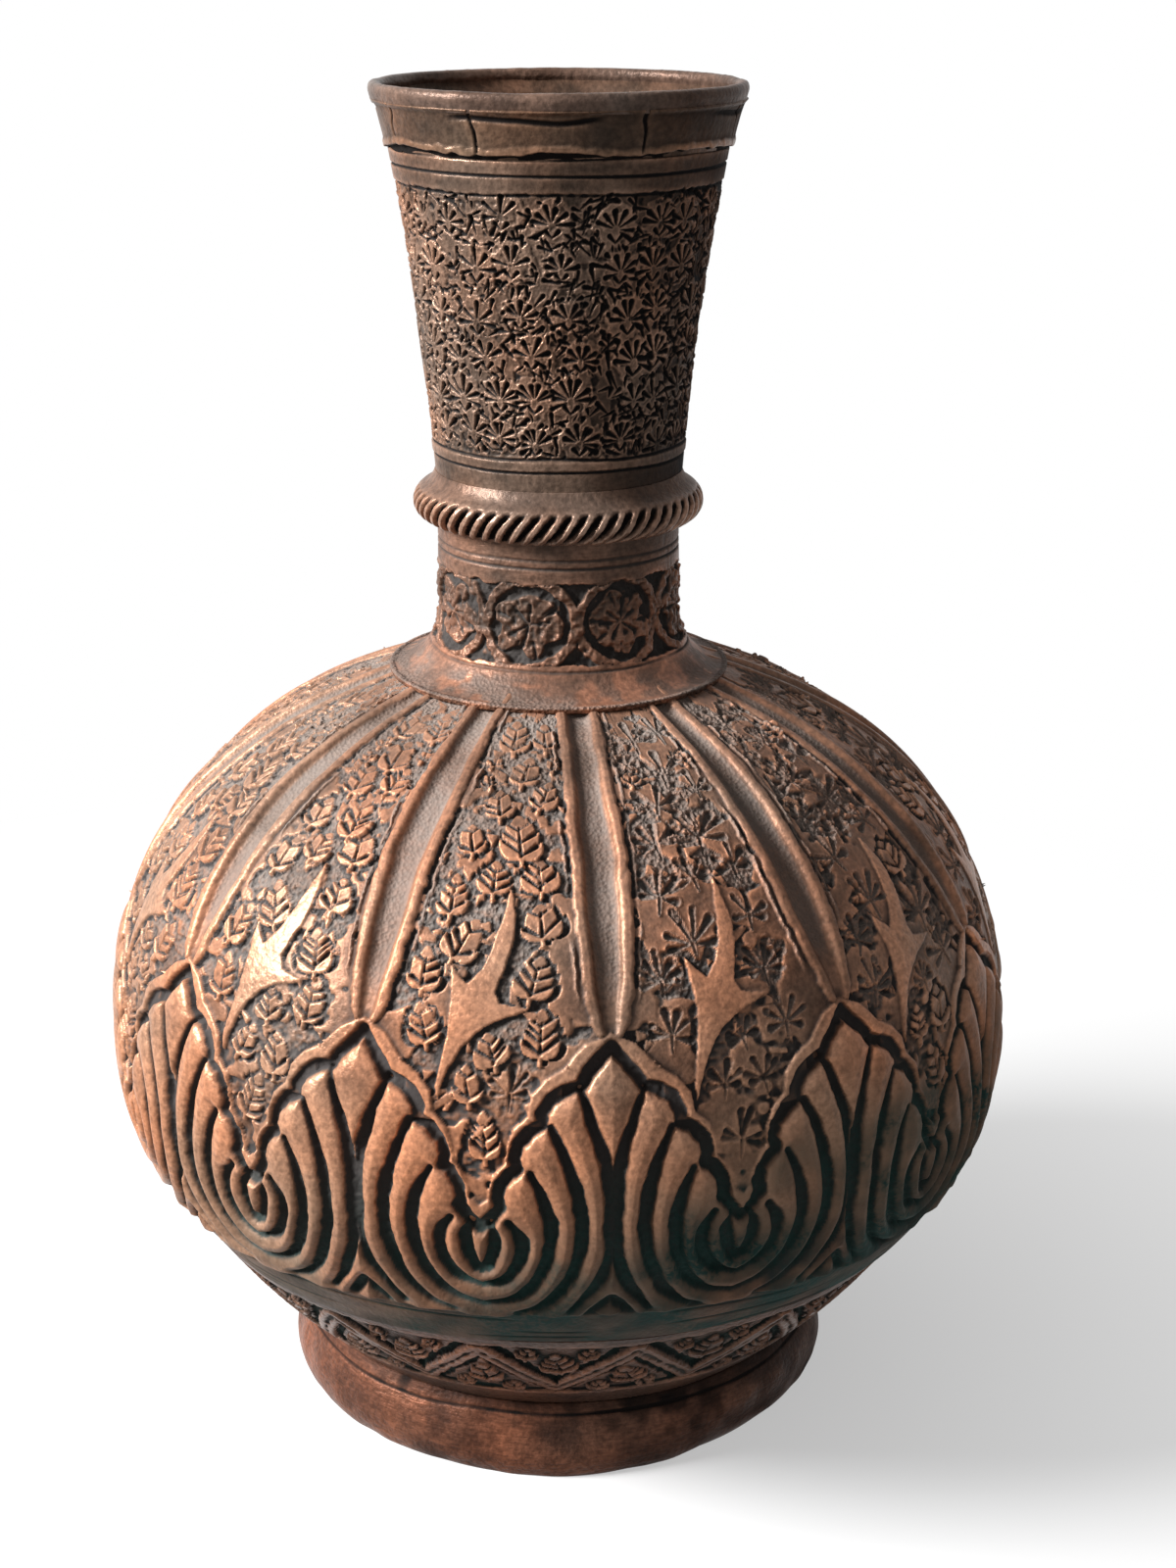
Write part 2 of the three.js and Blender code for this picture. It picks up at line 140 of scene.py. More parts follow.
class Sheet:
    """One piece of copper: its outline, its back, and the lift of every place on its outside."""

    def __init__(self, outside, back, row_gap, column_gap):
        self.line, self.run = even_steps(np.array(outside, float), row_gap * coarse)
        self.back = np.array(back, float)
        self.out = normals(self.line)
        self.up = self.run.reshape(-1, 1)
        self.girth = 2 * math.pi * self.line[:, 0].mean()
        widest = 2 * math.pi * self.line[:, 0].max()
        self.columns = round(widest / (column_gap * coarse))
        self.degrees = np.arange(self.columns) * 360 / self.columns
        self.lift = np.zeros((len(self.line), self.columns))
        self.sway, self.bob = [self.hills(18, seed) * 0.45 + self.hills(4, seed + 1) * 0.16
                               for seed in (1, 3)]
        self.marks = {}

    def hills(self, size, seed):
        """Random hills about size millimetres wide, from -1 to 1."""
        rows, columns = int(self.run[-1] / size) + 3, max(4, round(self.girth / size))
        table = np.random.default_rng(seed).uniform(-1, 1, (rows, columns))
        row, upward = np.divmod(self.run / size, 1)
        column, onward = np.divmod(self.degrees / 360 * columns, 1)
        row, column = row.astype(int), column.astype(int)
        upward, onward = ease(upward, 0, 1)[:, None], ease(onward, 0, 1)
        low, high = [entries[:, column] * (1 - onward) + entries[:, (column + 1) % columns] * onward
                     for entries in (table[row], table[row + 1])]
        return low * (1 - upward) + high * upward

    def climb(self, low, high):
        """0 below one place of the outline, 1 above another, and a smooth step between."""
        return ease(self.up, low, high)

    def facing(self, degrees):
        """1 on the side that lies at this turn, and -1 on the far side."""
        return np.cos(np.radians(self.degrees - degrees))

    def folded(self, first, pitch):
        """Turn in degrees from the nearest motif of a row that stands round the piece."""
        return (self.degrees - first + pitch / 2) % pitch - pitch / 2

    def rows_between(self, low, high):
        return np.flatnonzero((self.run >= low) & (self.run <= high))

    def radius_at(self, run):
        return float(np.interp(run, self.run, self.line[:, 0]))

    def patch(self, centre, reach, low, high):
        """The places round a motif, with each one's distance across and up in millimetres."""
        rows = self.rows_between(low, high)
        first = math.floor((centre - reach) * self.columns / 360)
        last = math.ceil((centre + reach) * self.columns / 360)
        columns = np.arange(first, last + 1)
        turn = np.radians(columns * 360 / self.columns - centre)
        at = np.ix_(rows, columns % self.columns)
        across = self.line[rows, :1] * turn
        return at, across + self.sway[at], self.up[rows] + self.bob[at]

    def scribe(self, place, depth, bend, edges=(0.1, 0.5), fray=0.0):
        """Cuts a line round the piece, half as wide as its edges say, that bends by so much."""
        self.lift -= depth * fade(np.abs(self.up - place - bend) + fray, *edges)

    def mark(self, name, values):
        """Makes a mark as strong as these values where it is weaker."""
        self.marks[name] = np.maximum(self.marks.get(name, 0.0), values)


# %% [markdown]
# The chaser has few tools: a tracer for lines, a chisel for V-shaped cuts and a punch that sets
# the ground down. On the grid they are distances: to a line, to a stroke, to an outline. A place
# that no tool has come near yet counts as very far away.

# %% Chasing tools
FAR = 99.0
UNCUT = -9.0


def beside(x, y, start, end):
    """Share of the way along a stroke, and the distance from it."""
    dx, dy = end[0] - start[0], end[1] - start[1]
    length = dx * dx + dy * dy
    share = unit(((x - start[0]) * dx + (y - start[1]) * dy) / length)
    return share, np.hypot(x - start[0] - share * dx, y - start[1] - share * dy)


def line_gap(x, y, points, thin_ends=0.0):
    """Distance to a line of points. Thin ends add to it where the line starts and stops."""
    gap = np.full(np.shape(x), FAR)
    for number, (start, end) in enumerate(zip(points, points[1:])):
        share, apart = beside(x, y, start, end)
        way = (number + share) / (len(points) - 1)
        apart = apart + thin_ends * (fade(way, 0, 0.3) + ease(way, 0.75, 1))
        gap = np.minimum(gap, apart)
    return gap


def chisel(x, y, start, end, width_start, width_end):
    """Distance inside the edge of a cut that widens along its way, below zero beside it."""
    share, gap = beside(x, y, start, end)
    return (width_start + (width_end - width_start) * share) / 2 - gap


def ray(x, y, angle, near, far, width_near, width_far):
    """A chisel cut that runs straight away from the middle, at an angle in radians."""
    start, end = [(reach * math.cos(angle), reach * math.sin(angle)) for reach in (near, far)]
    return chisel(x, y, start, end, width_near, width_far)


def carve(cut, depth, deepest=0.5, burr=0.12):
    """Lift that a V cut takes away, with the thin burr that the chisel pushes up beside it."""
    lip = ease(cut, -0.4, -0.08) * fade(cut, -0.08, 0.05)
    return burr * lip - depth * np.clip(cut, 0, deepest)


def inside(x, y, outline):
    """True within a closed outline."""
    within = np.zeros(np.shape(x), bool)
    for (x0, y0), (x1, y1) in zip(outline, outline[1:] + outline[:1]):
        if y0 == y1:
            continue
        crossing = x0 + (y - y0) / (y1 - y0) * (x1 - x0)
        within ^= ((y0 > y) != (y1 > y)) & (x < crossing)
    return within


def signed_gap(x, y, outline):
    """Distance to a closed outline, above zero within it."""
    gap = line_gap(x, y, outline + outline[:1])
    return np.where(inside(x, y, outline), gap, -gap)


def through(points, pieces=4):
    """A smooth line through the points."""
    points = [np.array(point, float) for point in points]
    ends = [2 * points[0] - points[1]] + points + [2 * points[-1] - points[-2]]
    line = []
    for a, b, c, d in zip(ends, ends[1:], ends[2:], ends[3:]):
        for share in np.arange(pieces) / pieces:
            pull = (c - a) * share + (2 * a - 5 * b + 4 * c - d) * share**2
            line.append(b + (pull + (3 * b - a - 3 * c + d) * share**3) / 2)
    return line + [points[-1]]


# %% [markdown]
# When a grid is ready it becomes a mesh. The outside rows are followed by a few rows for the back,
# so that every piece is a closed skin of real thickness. Dark dirt gathers in hollows and hands rub
# the crests bright, and the grid knows both: a place that lies below the mean of its surroundings
# is a hollow, one above it is a crest. Shade is painted into the same dark as well, strongest on
# the right, the side away from the lamp. These go with the mesh as named marks for the material.
# Its map is a plain rectangle, columns across and rows up.

# %% From grid to mesh
# The turn of the side away from the lamp, where shade is painted into the colour.
shaded_side_turn = 80
hollow_gain, deep_gain = 1.8, 1.1
crest_gains = (2.2, 0.7)
back_share = 0.35


def mean_round(sheet, values, width):
    """Mean over a square about width millimetres wide."""
    steps = ((sheet.run[1], "edge"), (sheet.girth / sheet.columns, "wrap"))
    for axis, (step, edge) in enumerate(steps):
        half = max(1, round(width / step / 2))
        size = 2 * half + 1
        pad = [(half + 1, half) if side == axis else (0, 0) for side in (0, 1)]
        total = np.cumsum(np.pad(values, pad, mode=edge), axis=axis)
        upper = np.take(total, range(size, total.shape[axis]), axis=axis)
        lower = np.take(total, range(0, total.shape[axis] - size), axis=axis)
        values = (upper - lower) / size
    return values


def painted_shade_side(sheet):
    """How far a place lies on the right, the side away from the lamp, from 0 to 1: the share for
    painted shade.
    """
    return unit(sheet.facing(shaded_side_turn)) ** 1.5


def mark_hollows(sheet, narrow=1.6, wide=5.0, side_shade_share=0.0):
    """Marks what lies below or above its surroundings, in a narrow and in a wide reach, and adds
    painted shade on the side away from the lamp.
    """
    near, far = [mean_round(sheet, mean_round(sheet, sheet.lift, width), width)
                 for width in (narrow, wide)]
    sheet.marks["hollow"] = unit(hollow_gain * (near - sheet.lift))
    # The wide mark: deep places, plus painted shade on the side away from the lamp.
    sheet.marks["deep"] = unit(deep_gain * (far - sheet.lift) + side_shade_share * painted_shade_side(sheet))
    above = crest_gains[0] * (sheet.lift - near) + crest_gains[1] * (sheet.lift - far)
    sheet.marks["crest"] = unit(above)


def grid_mesh(name, sheet):
    """The closed mesh of a sheet, in metres, with its map and its marks."""
    def with_back(values):
        return np.vstack([values, np.zeros((len(sheet.back), values.shape[1]))])

    def store(target, key, values, kind=np.float32):
        target.foreach_set(key, values.astype(kind).ravel())

    ring = np.vstack([sheet.line, sheet.back])
    lift, out = with_back(sheet.lift), with_back(sheet.out)
    radius, height = [ring[:, side, None] + out[:, side, None] * lift for side in (0, 1)]
    turn = np.radians(sheet.degrees)
    places = np.stack([radius * np.sin(turn), -radius * np.cos(turn), height], axis=-1) * MM
    index = np.arange(lift.size).reshape(lift.shape)
    beyond = np.roll(index, -1, axis=1)
    corners = [index, beyond, np.roll(beyond, -1, axis=0), np.roll(index, -1, axis=0)]
    faces = np.stack(corners, axis=-1).reshape(-1, 4)
    mesh = bpy.data.meshes.new(name)
    mesh.vertices.add(lift.size)
    store(mesh.vertices, "co", places)
    mesh.loops.add(faces.size)
    store(mesh.loops, "vertex_index", faces, np.int32)
    mesh.polygons.add(len(faces))
    store(mesh.polygons, "loop_start", np.arange(0, faces.size, 4), np.int32)
    mesh.update(calc_edges=True)
    mesh.shade_smooth()
    lengths = np.hypot(*(np.roll(ring, -1, axis=0) - ring).T)
    lengths[len(sheet.line):] *= back_share
    up = np.concatenate([[0], np.cumsum(lengths)]) / lengths.sum()
    low_up, high_up = [np.broadcast_to(edge[:, None], lift.shape) for edge in (up[:-1], up[1:])]
    left = np.broadcast_to(np.arange(sheet.columns) / sheet.columns, lift.shape)
    right = left + 1 / sheet.columns
    pairs = [(left, low_up), (right, low_up), (right, high_up), (left, high_up)]
    flat = np.stack([np.stack(pair, axis=-1) for pair in pairs], axis=2)
    store(mesh.uv_layers.new(name="OFBake").data, "uv", flat)
    for mark, values in sheet.marks.items():
        store(mesh.attributes.new(mark, "FLOAT", "POINT").data, "value", with_back(values))
    return mesh


def put_in_place(name, sheet, node, material):
    """Makes the piece, lets it stand for its solid and names the finish it belongs to."""
    piece = bpy.data.objects.new(name, grid_mesh(name, sheet))
    bpy.context.collection.objects.link(piece)
    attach(piece, "root")
    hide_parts(node)
    piece.data.materials.append(material)
    print(name, len(piece.data.polygons), "faces")


# %% [markdown]
# ## Finishes
# Old copper is a mixture: bright metal where hands rub it, brown oxide on the quiet parts, black
# dirt in the grooves, pale dust on what faces up, and a little green where it was damp. Each of
# these is a group of nodes with its own inputs, so that every piece can use it in its own measure.
# Short helpers keep the node code readable: they add a node, fill its sockets with values or with
# links, and lay one skin over another, where colour, roughness and metal move together.

# %% Node helpers
SKIN = ("Color", "Roughness", "Metallic")


def emptied(owner):
    """The node tree of a material or a world, with nothing in it."""
    owner.use_nodes = True
    owner.node_tree.nodes.clear()
    return owner.node_tree


def fill(tree, node, inputs):
    for socket, value in inputs.items():
        if isinstance(value, bpy.types.NodeSocket):
            tree.links.new(value, node.inputs[socket])
        else:
            node.inputs[socket].default_value = value


def add(tree, kind, inputs=None, **settings):
    node = tree.nodes.new(kind)
    for setting, value in settings.items():
        setattr(node, setting, value)
    fill(tree, node, inputs or {})
    return node


def math_node(tree, operation, first, second):
    return add(tree, "ShaderNodeMath", {0: first, 1: second}, operation=operation).outputs[0]


def product(tree, *values, clamp=False):
    """The product of some values, kept from 0 to 1 if asked."""
    result = values[0]
    for value in values[1:]:
        result = math_node(tree, "MULTIPLY", result, value)
    result.node.use_clamp = clamp
    return result


def blend_colours(tree, share, first, second, kind="MIX"):
    inputs = {0: share, 6: first, 7: second}
    return add(tree, "ShaderNodeMix", inputs, data_type="RGBA", blend_type=kind).outputs[2]


def blend_values(tree, share, first, second):
    inputs = {0: share, 2: first, 3: second}
    return add(tree, "ShaderNodeMix", inputs, data_type="FLOAT").outputs[0]


def remap(tree, value, low, high, low_out=0.0, high_out=1.0):
    inputs = {"Value": value, "From Min": low, "From Max": high}
    inputs.update({"To Min": low_out, "To Max": high_out})
    return add(tree, "ShaderNodeMapRange", inputs, clamp=True).outputs["Result"]


def cover(tree, result, share, under, over):
    """Lays one skin over another by a share, and puts the outcome out of the group."""
    for title, layer in zip(SKIN, over):
        blend = blend_colours if title == "Color" else blend_values
        tree.links.new(blend(tree, share, under[title], layer), result[title])


def new_group(name, inputs, outputs=SKIN):
    """An empty group with named sockets: each input is its name with a value or a colour."""
    tree = bpy.data.node_groups.new(name, "ShaderNodeTree")
    for title, value in inputs.items():
        kind = "NodeSocketColor" if isinstance(value, tuple) else "NodeSocketFloat"
        socket = tree.interface.new_socket(title, in_out="INPUT", socket_type=kind)
        socket.default_value = value
    for title in outputs:
        kind = "NodeSocketColor" if title == "Color" else "NodeSocketFloat"
        tree.interface.new_socket(title, in_out="OUTPUT", socket_type=kind)
    return tree, tree.nodes.new("NodeGroupInput").outputs, tree.nodes.new("NodeGroupOutput").inputs


def colour(red, green, blue):
    """A colour as a picture editor shows it, from 0 to 255."""
    linear = [(part / 255) / 12.92 if part < 11 else ((part / 255 + 0.055) / 1.055) ** 2.4
              for part in (red, green, blue)]
    return (*linear, 1.0)


# %% [markdown]
# Beaten metal: soft hammer dents a few millimetres wide, fine pits and short scratches, and a
# mottle that tells where the oxide is thick or thin. It all comes from noise in the vase's own
# space, so it stays on the metal from any side.

# %% Beaten metal group
beaten, given, result = new_group(
    "beaten metal",
    {"Dents": 1.0, "Pits": 1.0, "Stipple": 0.0, "Scratches": 0.2},
    ("Mottle", "Drift", "Fine", "Height"),
)
space = add(beaten, "ShaderNodeTexCoord").outputs["Object"]
streaked = add(beaten, "ShaderNodeMapping", {"Vector": space, "Scale": (1.0, 1.0, 6.0)}).outputs[0]


def noise(scale, detail, place=space, distortion=0.0):
    inputs = {"Vector": place, "Scale": scale, "Detail": detail, "Distortion": distortion}
    return add(beaten, "ShaderNodeTexNoise", inputs).outputs[0]


drift, mottle, fine = noise(26.0, 3.0), noise(70.0, 5.0), noise(900.0, 3.0)
scratches = noise(330.0, 6.0, streaked, 0.6)
dents = add(beaten, "ShaderNodeTexVoronoi", {"Vector": space, "Scale": 190.0, "Smoothness": 0.8},
            feature="SMOOTH_F1").outputs["Distance"]
punched = add(beaten, "ShaderNodeTexVoronoi", {"Vector": space, "Scale": 1250.0}).outputs["Distance"]
height = product(beaten, dents, given["Dents"])
for grain, measure in ((fine, "Pits"), (scratches, "Scratches"), (punched, "Stipple")):
    height = math_node(beaten, "ADD", height, product(beaten, grain, given[measure]))
streak = blend_values(beaten, given["Scratches"], 0.5, scratches)
grain = product(beaten, fine, streak)
for title, value in (("Mottle", mottle), ("Drift", drift), ("Fine", grain), ("Height", height)):
    beaten.links.new(value, result[title])
print("beaten metal:", len(beaten.nodes), "nodes")

# %% [markdown]
# Worn copper: rubbed metal on the crests, brown oxide between, and black in the hollows. The
# mottle shifts the borders, so that none of them is a clean line. Bare metal is more metallic and
# smoother than oxide, and dirt is neither. The same black also paints the shade that a piece
# puts into its marks.

# %% Worn copper group
worn, given, result = new_group(
    "worn copper",
    {"Bright": colour(214, 142, 108), "Brown": colour(150, 100, 76), "Dirt and shade": colour(34, 28, 26),
     "Hollow": 0.0, "Deep and shade": 0.0, "Crest": 0.0, "Mottle": 0.5, "Drift": 0.5, "Fine": 0.25,
     "Rub": 0.5, "Dirt reach": 1.0},
)
warmer, cooler = (1.12, 0.98, 0.88, 1), (0.84, 0.95, 1.02, 1)
spread = remap(worn, given["Mottle"], 0.35, 0.65)
rubbed = math_node(worn, "ADD", product(worn, given["Crest"], 1.1), product(worn, spread, 0.7))
rubbed = product(worn, rubbed, given["Rub"], clamp=True)
tone = blend_colours(worn, rubbed, given["Brown"], given["Bright"])
drifted = blend_colours(worn, remap(worn, given["Drift"], 0.38, 0.62), warmer, cooler)
speck = remap(worn, given["Fine"], 0.15, 0.36, 0.58, 1.2)
specks = add(worn, "ShaderNodeCombineColor", {0: speck, 1: speck, 2: speck}).outputs[0]
for shade in (drifted, specks):
    tone = blend_colours(worn, 1.0, tone, shade, "MULTIPLY")
# Dirt in the hollows, and painted shade carried by the wide mark, both take the dark colour.
dirt_and_shade_share = math_node(worn, "ADD", given["Hollow"], product(worn, given["Deep and shade"], 0.8))
patchy = remap(worn, given["Mottle"], 0.3, 0.6, 0.85, 1.25)
dirt_and_shade_share = remap(worn, product(worn, dirt_and_shade_share, given["Dirt reach"], patchy), 0.1, 0.95)
clean_skin = {"Color": tone, "Roughness": blend_values(worn, rubbed, 0.38, 0.28),
              "Metallic": blend_values(worn, rubbed, 0.16, 0.36)}
cover(worn, result, dirt_and_shade_share, clean_skin, (given["Dirt and shade"], 0.85, 0.0))
print("worn copper:", len(worn.nodes), "nodes")

# %% [markdown]
# Settled dust: a pale grey film that lies on ground that faces up and stays out of reach of a
# cloth. Verdigris: the green that damp copper grows in its hollows, chalky and in patches. Both
# cover the skin below them with something rough that is hardly metallic.

# %% Settled dust and verdigris groups
skin_below = {"Color": colour(150, 100, 76), "Roughness": 0.5, "Metallic": 0.5}
dusty, given, result = new_group(
    "settled dust",
    skin_below | {"Dust": colour(130, 122, 116), "Amount": 0.0, "Sheltered": 0.0, "Hollow": 0.0,
                  "Mottle": 0.5},
)
facing = add(dusty, "ShaderNodeNewGeometry").outputs["Normal"]
upward = add(dusty, "ShaderNodeSeparateXYZ", {0: facing}).outputs["Z"]
film = product(
    dusty,
    remap(dusty, upward, -0.1, 0.75),
    given["Amount"],
    remap(dusty, given["Mottle"], 0.32, 0.6, 0.55, 1.2),
    remap(dusty, given["Hollow"], 0.15, 0.6, 1.0, 0.1),
    remap(dusty, given["Sheltered"], 0.0, 0.6, 0.24, 1.0),
    clamp=True,
)
cover(dusty, result, film, given, (given["Dust"], 0.9, 0.0))

verdigris, given, result = new_group(
    "verdigris",
    skin_below | {"Green": colour(41, 63, 59), "Amount": 0.0, "Mottle": 0.5, "Fine": 0.25},
)
grown = product(
    verdigris,
    given["Amount"],
    remap(verdigris, given["Mottle"], 0.35, 0.6, 0.45, 1.0),
    remap(verdigris, given["Fine"], 0.15, 0.3, 0.6),
    clamp=True,
)
cover(verdigris, result, grown, given, (given["Green"], 0.7, 0.1))
print("settled dust:", len(dusty.nodes), "nodes, verdigris:", len(verdigris.nodes), "nodes")

# %% [markdown]
# A finish for a piece joins these groups: the marks of the mesh go in, and one shader comes out.
# The same chain serves the whole vase, and each piece gives its own colours and measures.

# %% Copper finishes
stipple_height = 2.4
bump_strength, bump_distance = 0.5, 0.0004
faint_gloss = 0.06


def copper_finish(name, bright, brown, dirt_and_shade_colour=colour(26, 22, 21), rub=0.6, dirt_and_shade_reach=1.0, dust=0.3,
                  dents=1.0, pits=1.0, green=0.0, scratches=0.2):
    material = bpy.data.materials.new(name)
    tree = emptied(material)
    marks = {mark: add(tree, "ShaderNodeAttribute", attribute_name=mark).outputs["Fac"]
             for mark in ("hollow", "deep", "crest", "ground", "damp")}

    def layer(group, inputs, below=None):
        skin = {title: below[title] for title in SKIN} if below else {}
        return add(tree, "ShaderNodeGroup", skin | inputs, node_tree=group).outputs

    metal = layer(beaten, {"Dents": dents, "Pits": pits, "Scratches": scratches,
                           "Stipple": product(tree, marks["ground"], stipple_height)})
    mottle, grain = metal["Mottle"], metal["Fine"]
    # The dark colour covers dirt, and also painted shade where a piece marks it.
    skin = layer(worn, {"Bright": bright, "Brown": brown, "Dirt and shade": dirt_and_shade_colour, "Hollow": marks["hollow"],
                        "Deep and shade": marks["deep"], "Crest": marks["crest"], "Mottle": mottle,
                        "Drift": metal["Drift"], "Fine": grain, "Rub": rub,
                        "Dirt reach": dirt_and_shade_reach})
    film = layer(dusty, {"Amount": dust, "Sheltered": marks["ground"], "Hollow": marks["hollow"],
                         "Mottle": mottle}, skin)
    growth = layer(verdigris, {"Amount": product(tree, marks["damp"], green), "Mottle": mottle,
                               "Fine": grain}, film)
    relief = add(tree, "ShaderNodeBump", {"Height": metal["Height"], "Strength": bump_strength,
                                          "Distance": bump_distance})
    shader = add(tree, "ShaderNodeBsdfPrincipled",
                 {"Base Color": growth["Color"], "Roughness": growth["Roughness"],
                  "Metallic": growth["Metallic"], "Normal": relief.outputs["Normal"],
                  "Specular IOR Level": faint_gloss})
    add(tree, "ShaderNodeOutputMaterial", {"Surface": shader.outputs[0]})
    return material


# %% [markdown]
# ## The body
# The belly and shoulder are one sheet. Its outline is two curves that meet upright at the belly.
# The girdle repeats twelve times, and each half of a palmette mirrors the other, so a groove is
# written once, from the valley between two palmettes (0) to the axis of a palmette (25).

# %% Body outline
body_foot = level("body_shell", 0)
body_top = level("body_shell", 1)
belly_level = body_foot + 35.5
edge_radius = 82.2
belly_radius = 95.8
opening_radius = 25
body_wall = 2.4

edge_flare = 0.66
edge_pull = 12
belly_pull_down = 17
belly_pull_up = 29
opening_slope = 0.311
opening_pull = 66

lower_belly = bezier([
    (edge_radius, body_foot),
    (edge_radius + edge_pull * math.sin(edge_flare), body_foot + edge_pull * math.cos(edge_flare)),
    (belly_radius, belly_level - belly_pull_down),
    (belly_radius, belly_level),
])
upper_belly = bezier([
    (belly_radius, belly_level),
    (belly_radius, belly_level + belly_pull_up),
    (opening_radius + opening_pull * math.cos(opening_slope),
     body_top - opening_pull * math.sin(opening_slope)),
    (opening_radius, body_top),
])
body_line = np.vstack([lower_belly, upper_belly[1:]])
inner_line, _ = even_steps(body_line - normals(body_line) * body_wall, 5)
body = Sheet(body_line, inner_line[::-1], row_gap=0.3, column_gap=0.29)
print("body grid", body.lift.shape, "length", round(body.run[-1], 1), "mm")

# %% [markdown]
# The palmette: ribs that curl round the valley, parted by deep grooves, under a scalloped strap.
# A groove is dark and steep, and the rib between two grooves swells like a finger. The strap keeps
# flat, and beyond its outer edge the ground of the panels is set down.

# %% Palmette girdle
flute_count = 12
pitch = 360 / flute_count
first_flute = 6.2
first_valley = first_flute + pitch / 2
half_pitch = math.radians(pitch / 2) * belly_radius

grooves = [through(points) for points in (
    [(18.9, 63), (21.6, 55.8), (23.5, 49.7), (24.3, 43.6), (24.5, 31.5), (23.9, 27), (22.2, 22.4),
     (19.7, 17.9), (17, 14.1)],
    [(13.6, 55.8), (16.3, 49.7), (18, 43.6), (18.9, 37.6), (18.7, 31.5), (17.5, 26.2), (14.9, 20.2),
     (11, 15.6), (6.4, 13.2)],
    [(9.5, 46.7), (11.6, 42.1), (12.9, 36.8), (12.9, 31.5), (11.7, 26.2), (9.5, 21.7), (5.7, 17.9),
     (0, 16.2)],
    [(5.3, 36.8), (7.3, 33.8), (7.8, 30.8), (6.8, 27), (4.2, 23.2), (0, 21.5)],
    [(2.0, 35.5), (2.7, 33), (2.3, 29.5), (1.2, 26.4), (0, 25)],
)]
strap_inner = [(25.1, 70.8), (20.5, 66), (19.1, 63.7), (16.3, 62.7), (13.6, 61.1), (11.9, 58.4),
               (11.9, 56.4), (9.5, 55), (7.3, 52.3), (6.6, 49.7), (7.1, 47.6), (5.5, 46.7),
               (4, 44.4), (3.3, 41.7), (3.6, 39.8), (2.3, 37.6), (0.4, 35.3)]
strap_outer = [(0, 40.2), (1.7, 41.4), (1.9, 43.6), (3, 46.7), (4.9, 48.9), (5.3, 52), (6.4, 55.4),
               (9.1, 58), (9.8, 61.8), (12.5, 64.8), (16.3, 67.1), (18.2, 69.4), (20.1, 71.3),
               (25.2, 73.5)]
caret = [(20.9, 12.8), (25.1, 18.3)]
girdle_foot, girdle_top = 12.0, 76
rib_rise = 1.15
groove_depth, groove_walls = 1.4, (0.7, 1.75)
strap_depth, strap_walls = 1.45, (0.6, 1.65)

girdle_rows = rows = body.rows_between(0, girdle_top)
x = np.abs(body.folded(first_valley, pitch) / (pitch / 2) * half_pitch + body.sway[rows])
y = body.up[rows] + body.bob[rows]
fray = body.hills(0.9, 11)[rows] * 0.12 + body.hills(2.2, 12)[rows] * 0.24
fray += body.hills(6, 16)[rows] * 0.25 + 0.25 * fade(y, 16, 36)

groove_gap = np.minimum.reduce([line_gap(x, y, groove, 0.7) for groove in grooves])
groove_gap = np.minimum(groove_gap, line_gap(x, y, caret, 0.2))
strap_gap = line_gap(x, y, strap_inner)
edge_gap = line_gap(x, y, strap_outer)
girdle_panel = y > np.interp(x, *np.array(strap_outer).T)
nearest = np.clip(np.minimum(groove_gap, strap_gap) - 1.2, 0, None)
swell = 0.2 * (1 - np.exp(-nearest / 0.3)) + rib_rise * (1 - np.exp(-nearest / 1.7))
is_strap = (strap_gap < 4) & (edge_gap < 3.4) & ~girdle_panel & (y > 35)
strap_top = 0.45 * ease(np.minimum(strap_gap - 1.1, edge_gap), 0, 0.4)
relief = np.where(is_strap, np.maximum(strap_top, 0), swell)
grip = 1 + 0.25 * body.hills(5, 17)[rows]
relief -= groove_depth * grip * fade(groove_gap + fray, *groove_walls)
relief -= strap_depth * grip * fade(strap_gap + fray, *strap_walls)
gouged = (body.hills(0.8, 14) + 0.6 * body.hills(0.55, 15))[rows]
relief += 0.16 * gouged * fade(np.minimum(groove_gap, strap_gap - 0.3), 0.9, 1.4)
foot_line = girdle_foot + body.hills(14, 13)[rows[0], None] * 0.9
below = ease(foot_line - y, -0.8, 0.8)
foot_cut = 0.55 * fade(np.abs(y - foot_line) + fray, 0.1, 0.6)
girdle_relief = relief * (1 - below) - foot_cut
print("girdle rows", len(rows), "deepest", round(float(girdle_relief.min()), 2), "mm")

# %% [markdown]
# Each flute is a concave channel between two raised edges. It starts on the tip of a palmette,
# swells and narrows again towards the neck. The outside of the raised edges is torn by the chisel
# that cut the ground away.

# %% Flutes
flute_levels = [70.5, 73, 75, 82, 92, 116, 147, 158]
flute_halves = [0.2, 2.4, 3.6, 4.8, 5.7, 5.5, 4.0, 3.6]
channel_halves = [-0.6, 0.7, 1.3, 2.3, 3.1, 3.2, 2.1, 1.9]
channel_depth = 1.35
ridge_rise = 0.55
ground_depth = 0.75
kept_and_shaded_turn = 66

x = np.abs(np.radians(body.folded(first_flute, pitch)) * body.line[:, :1] + body.sway)
outer = np.interp(body.up, flute_levels, flute_halves) + body.hills(1.6, 21) * 0.3
channel = np.interp(body.up, flute_levels, channel_halves) + body.hills(6, 22) * 0.25
across_ridge = unit((x - channel) / np.maximum(outer - channel, 0.1))
ridge = ridge_rise * unit(4.6 * across_ridge * (1 - across_ridge)) ** 0.8
hollow = channel_depth * unit(1 - (x / np.maximum(channel, 0.1)) ** 4)
hollow *= body.climb(72, 88) * 0.8 + 0.2
is_flute = (x < outer) & (body.up > flute_levels[0])
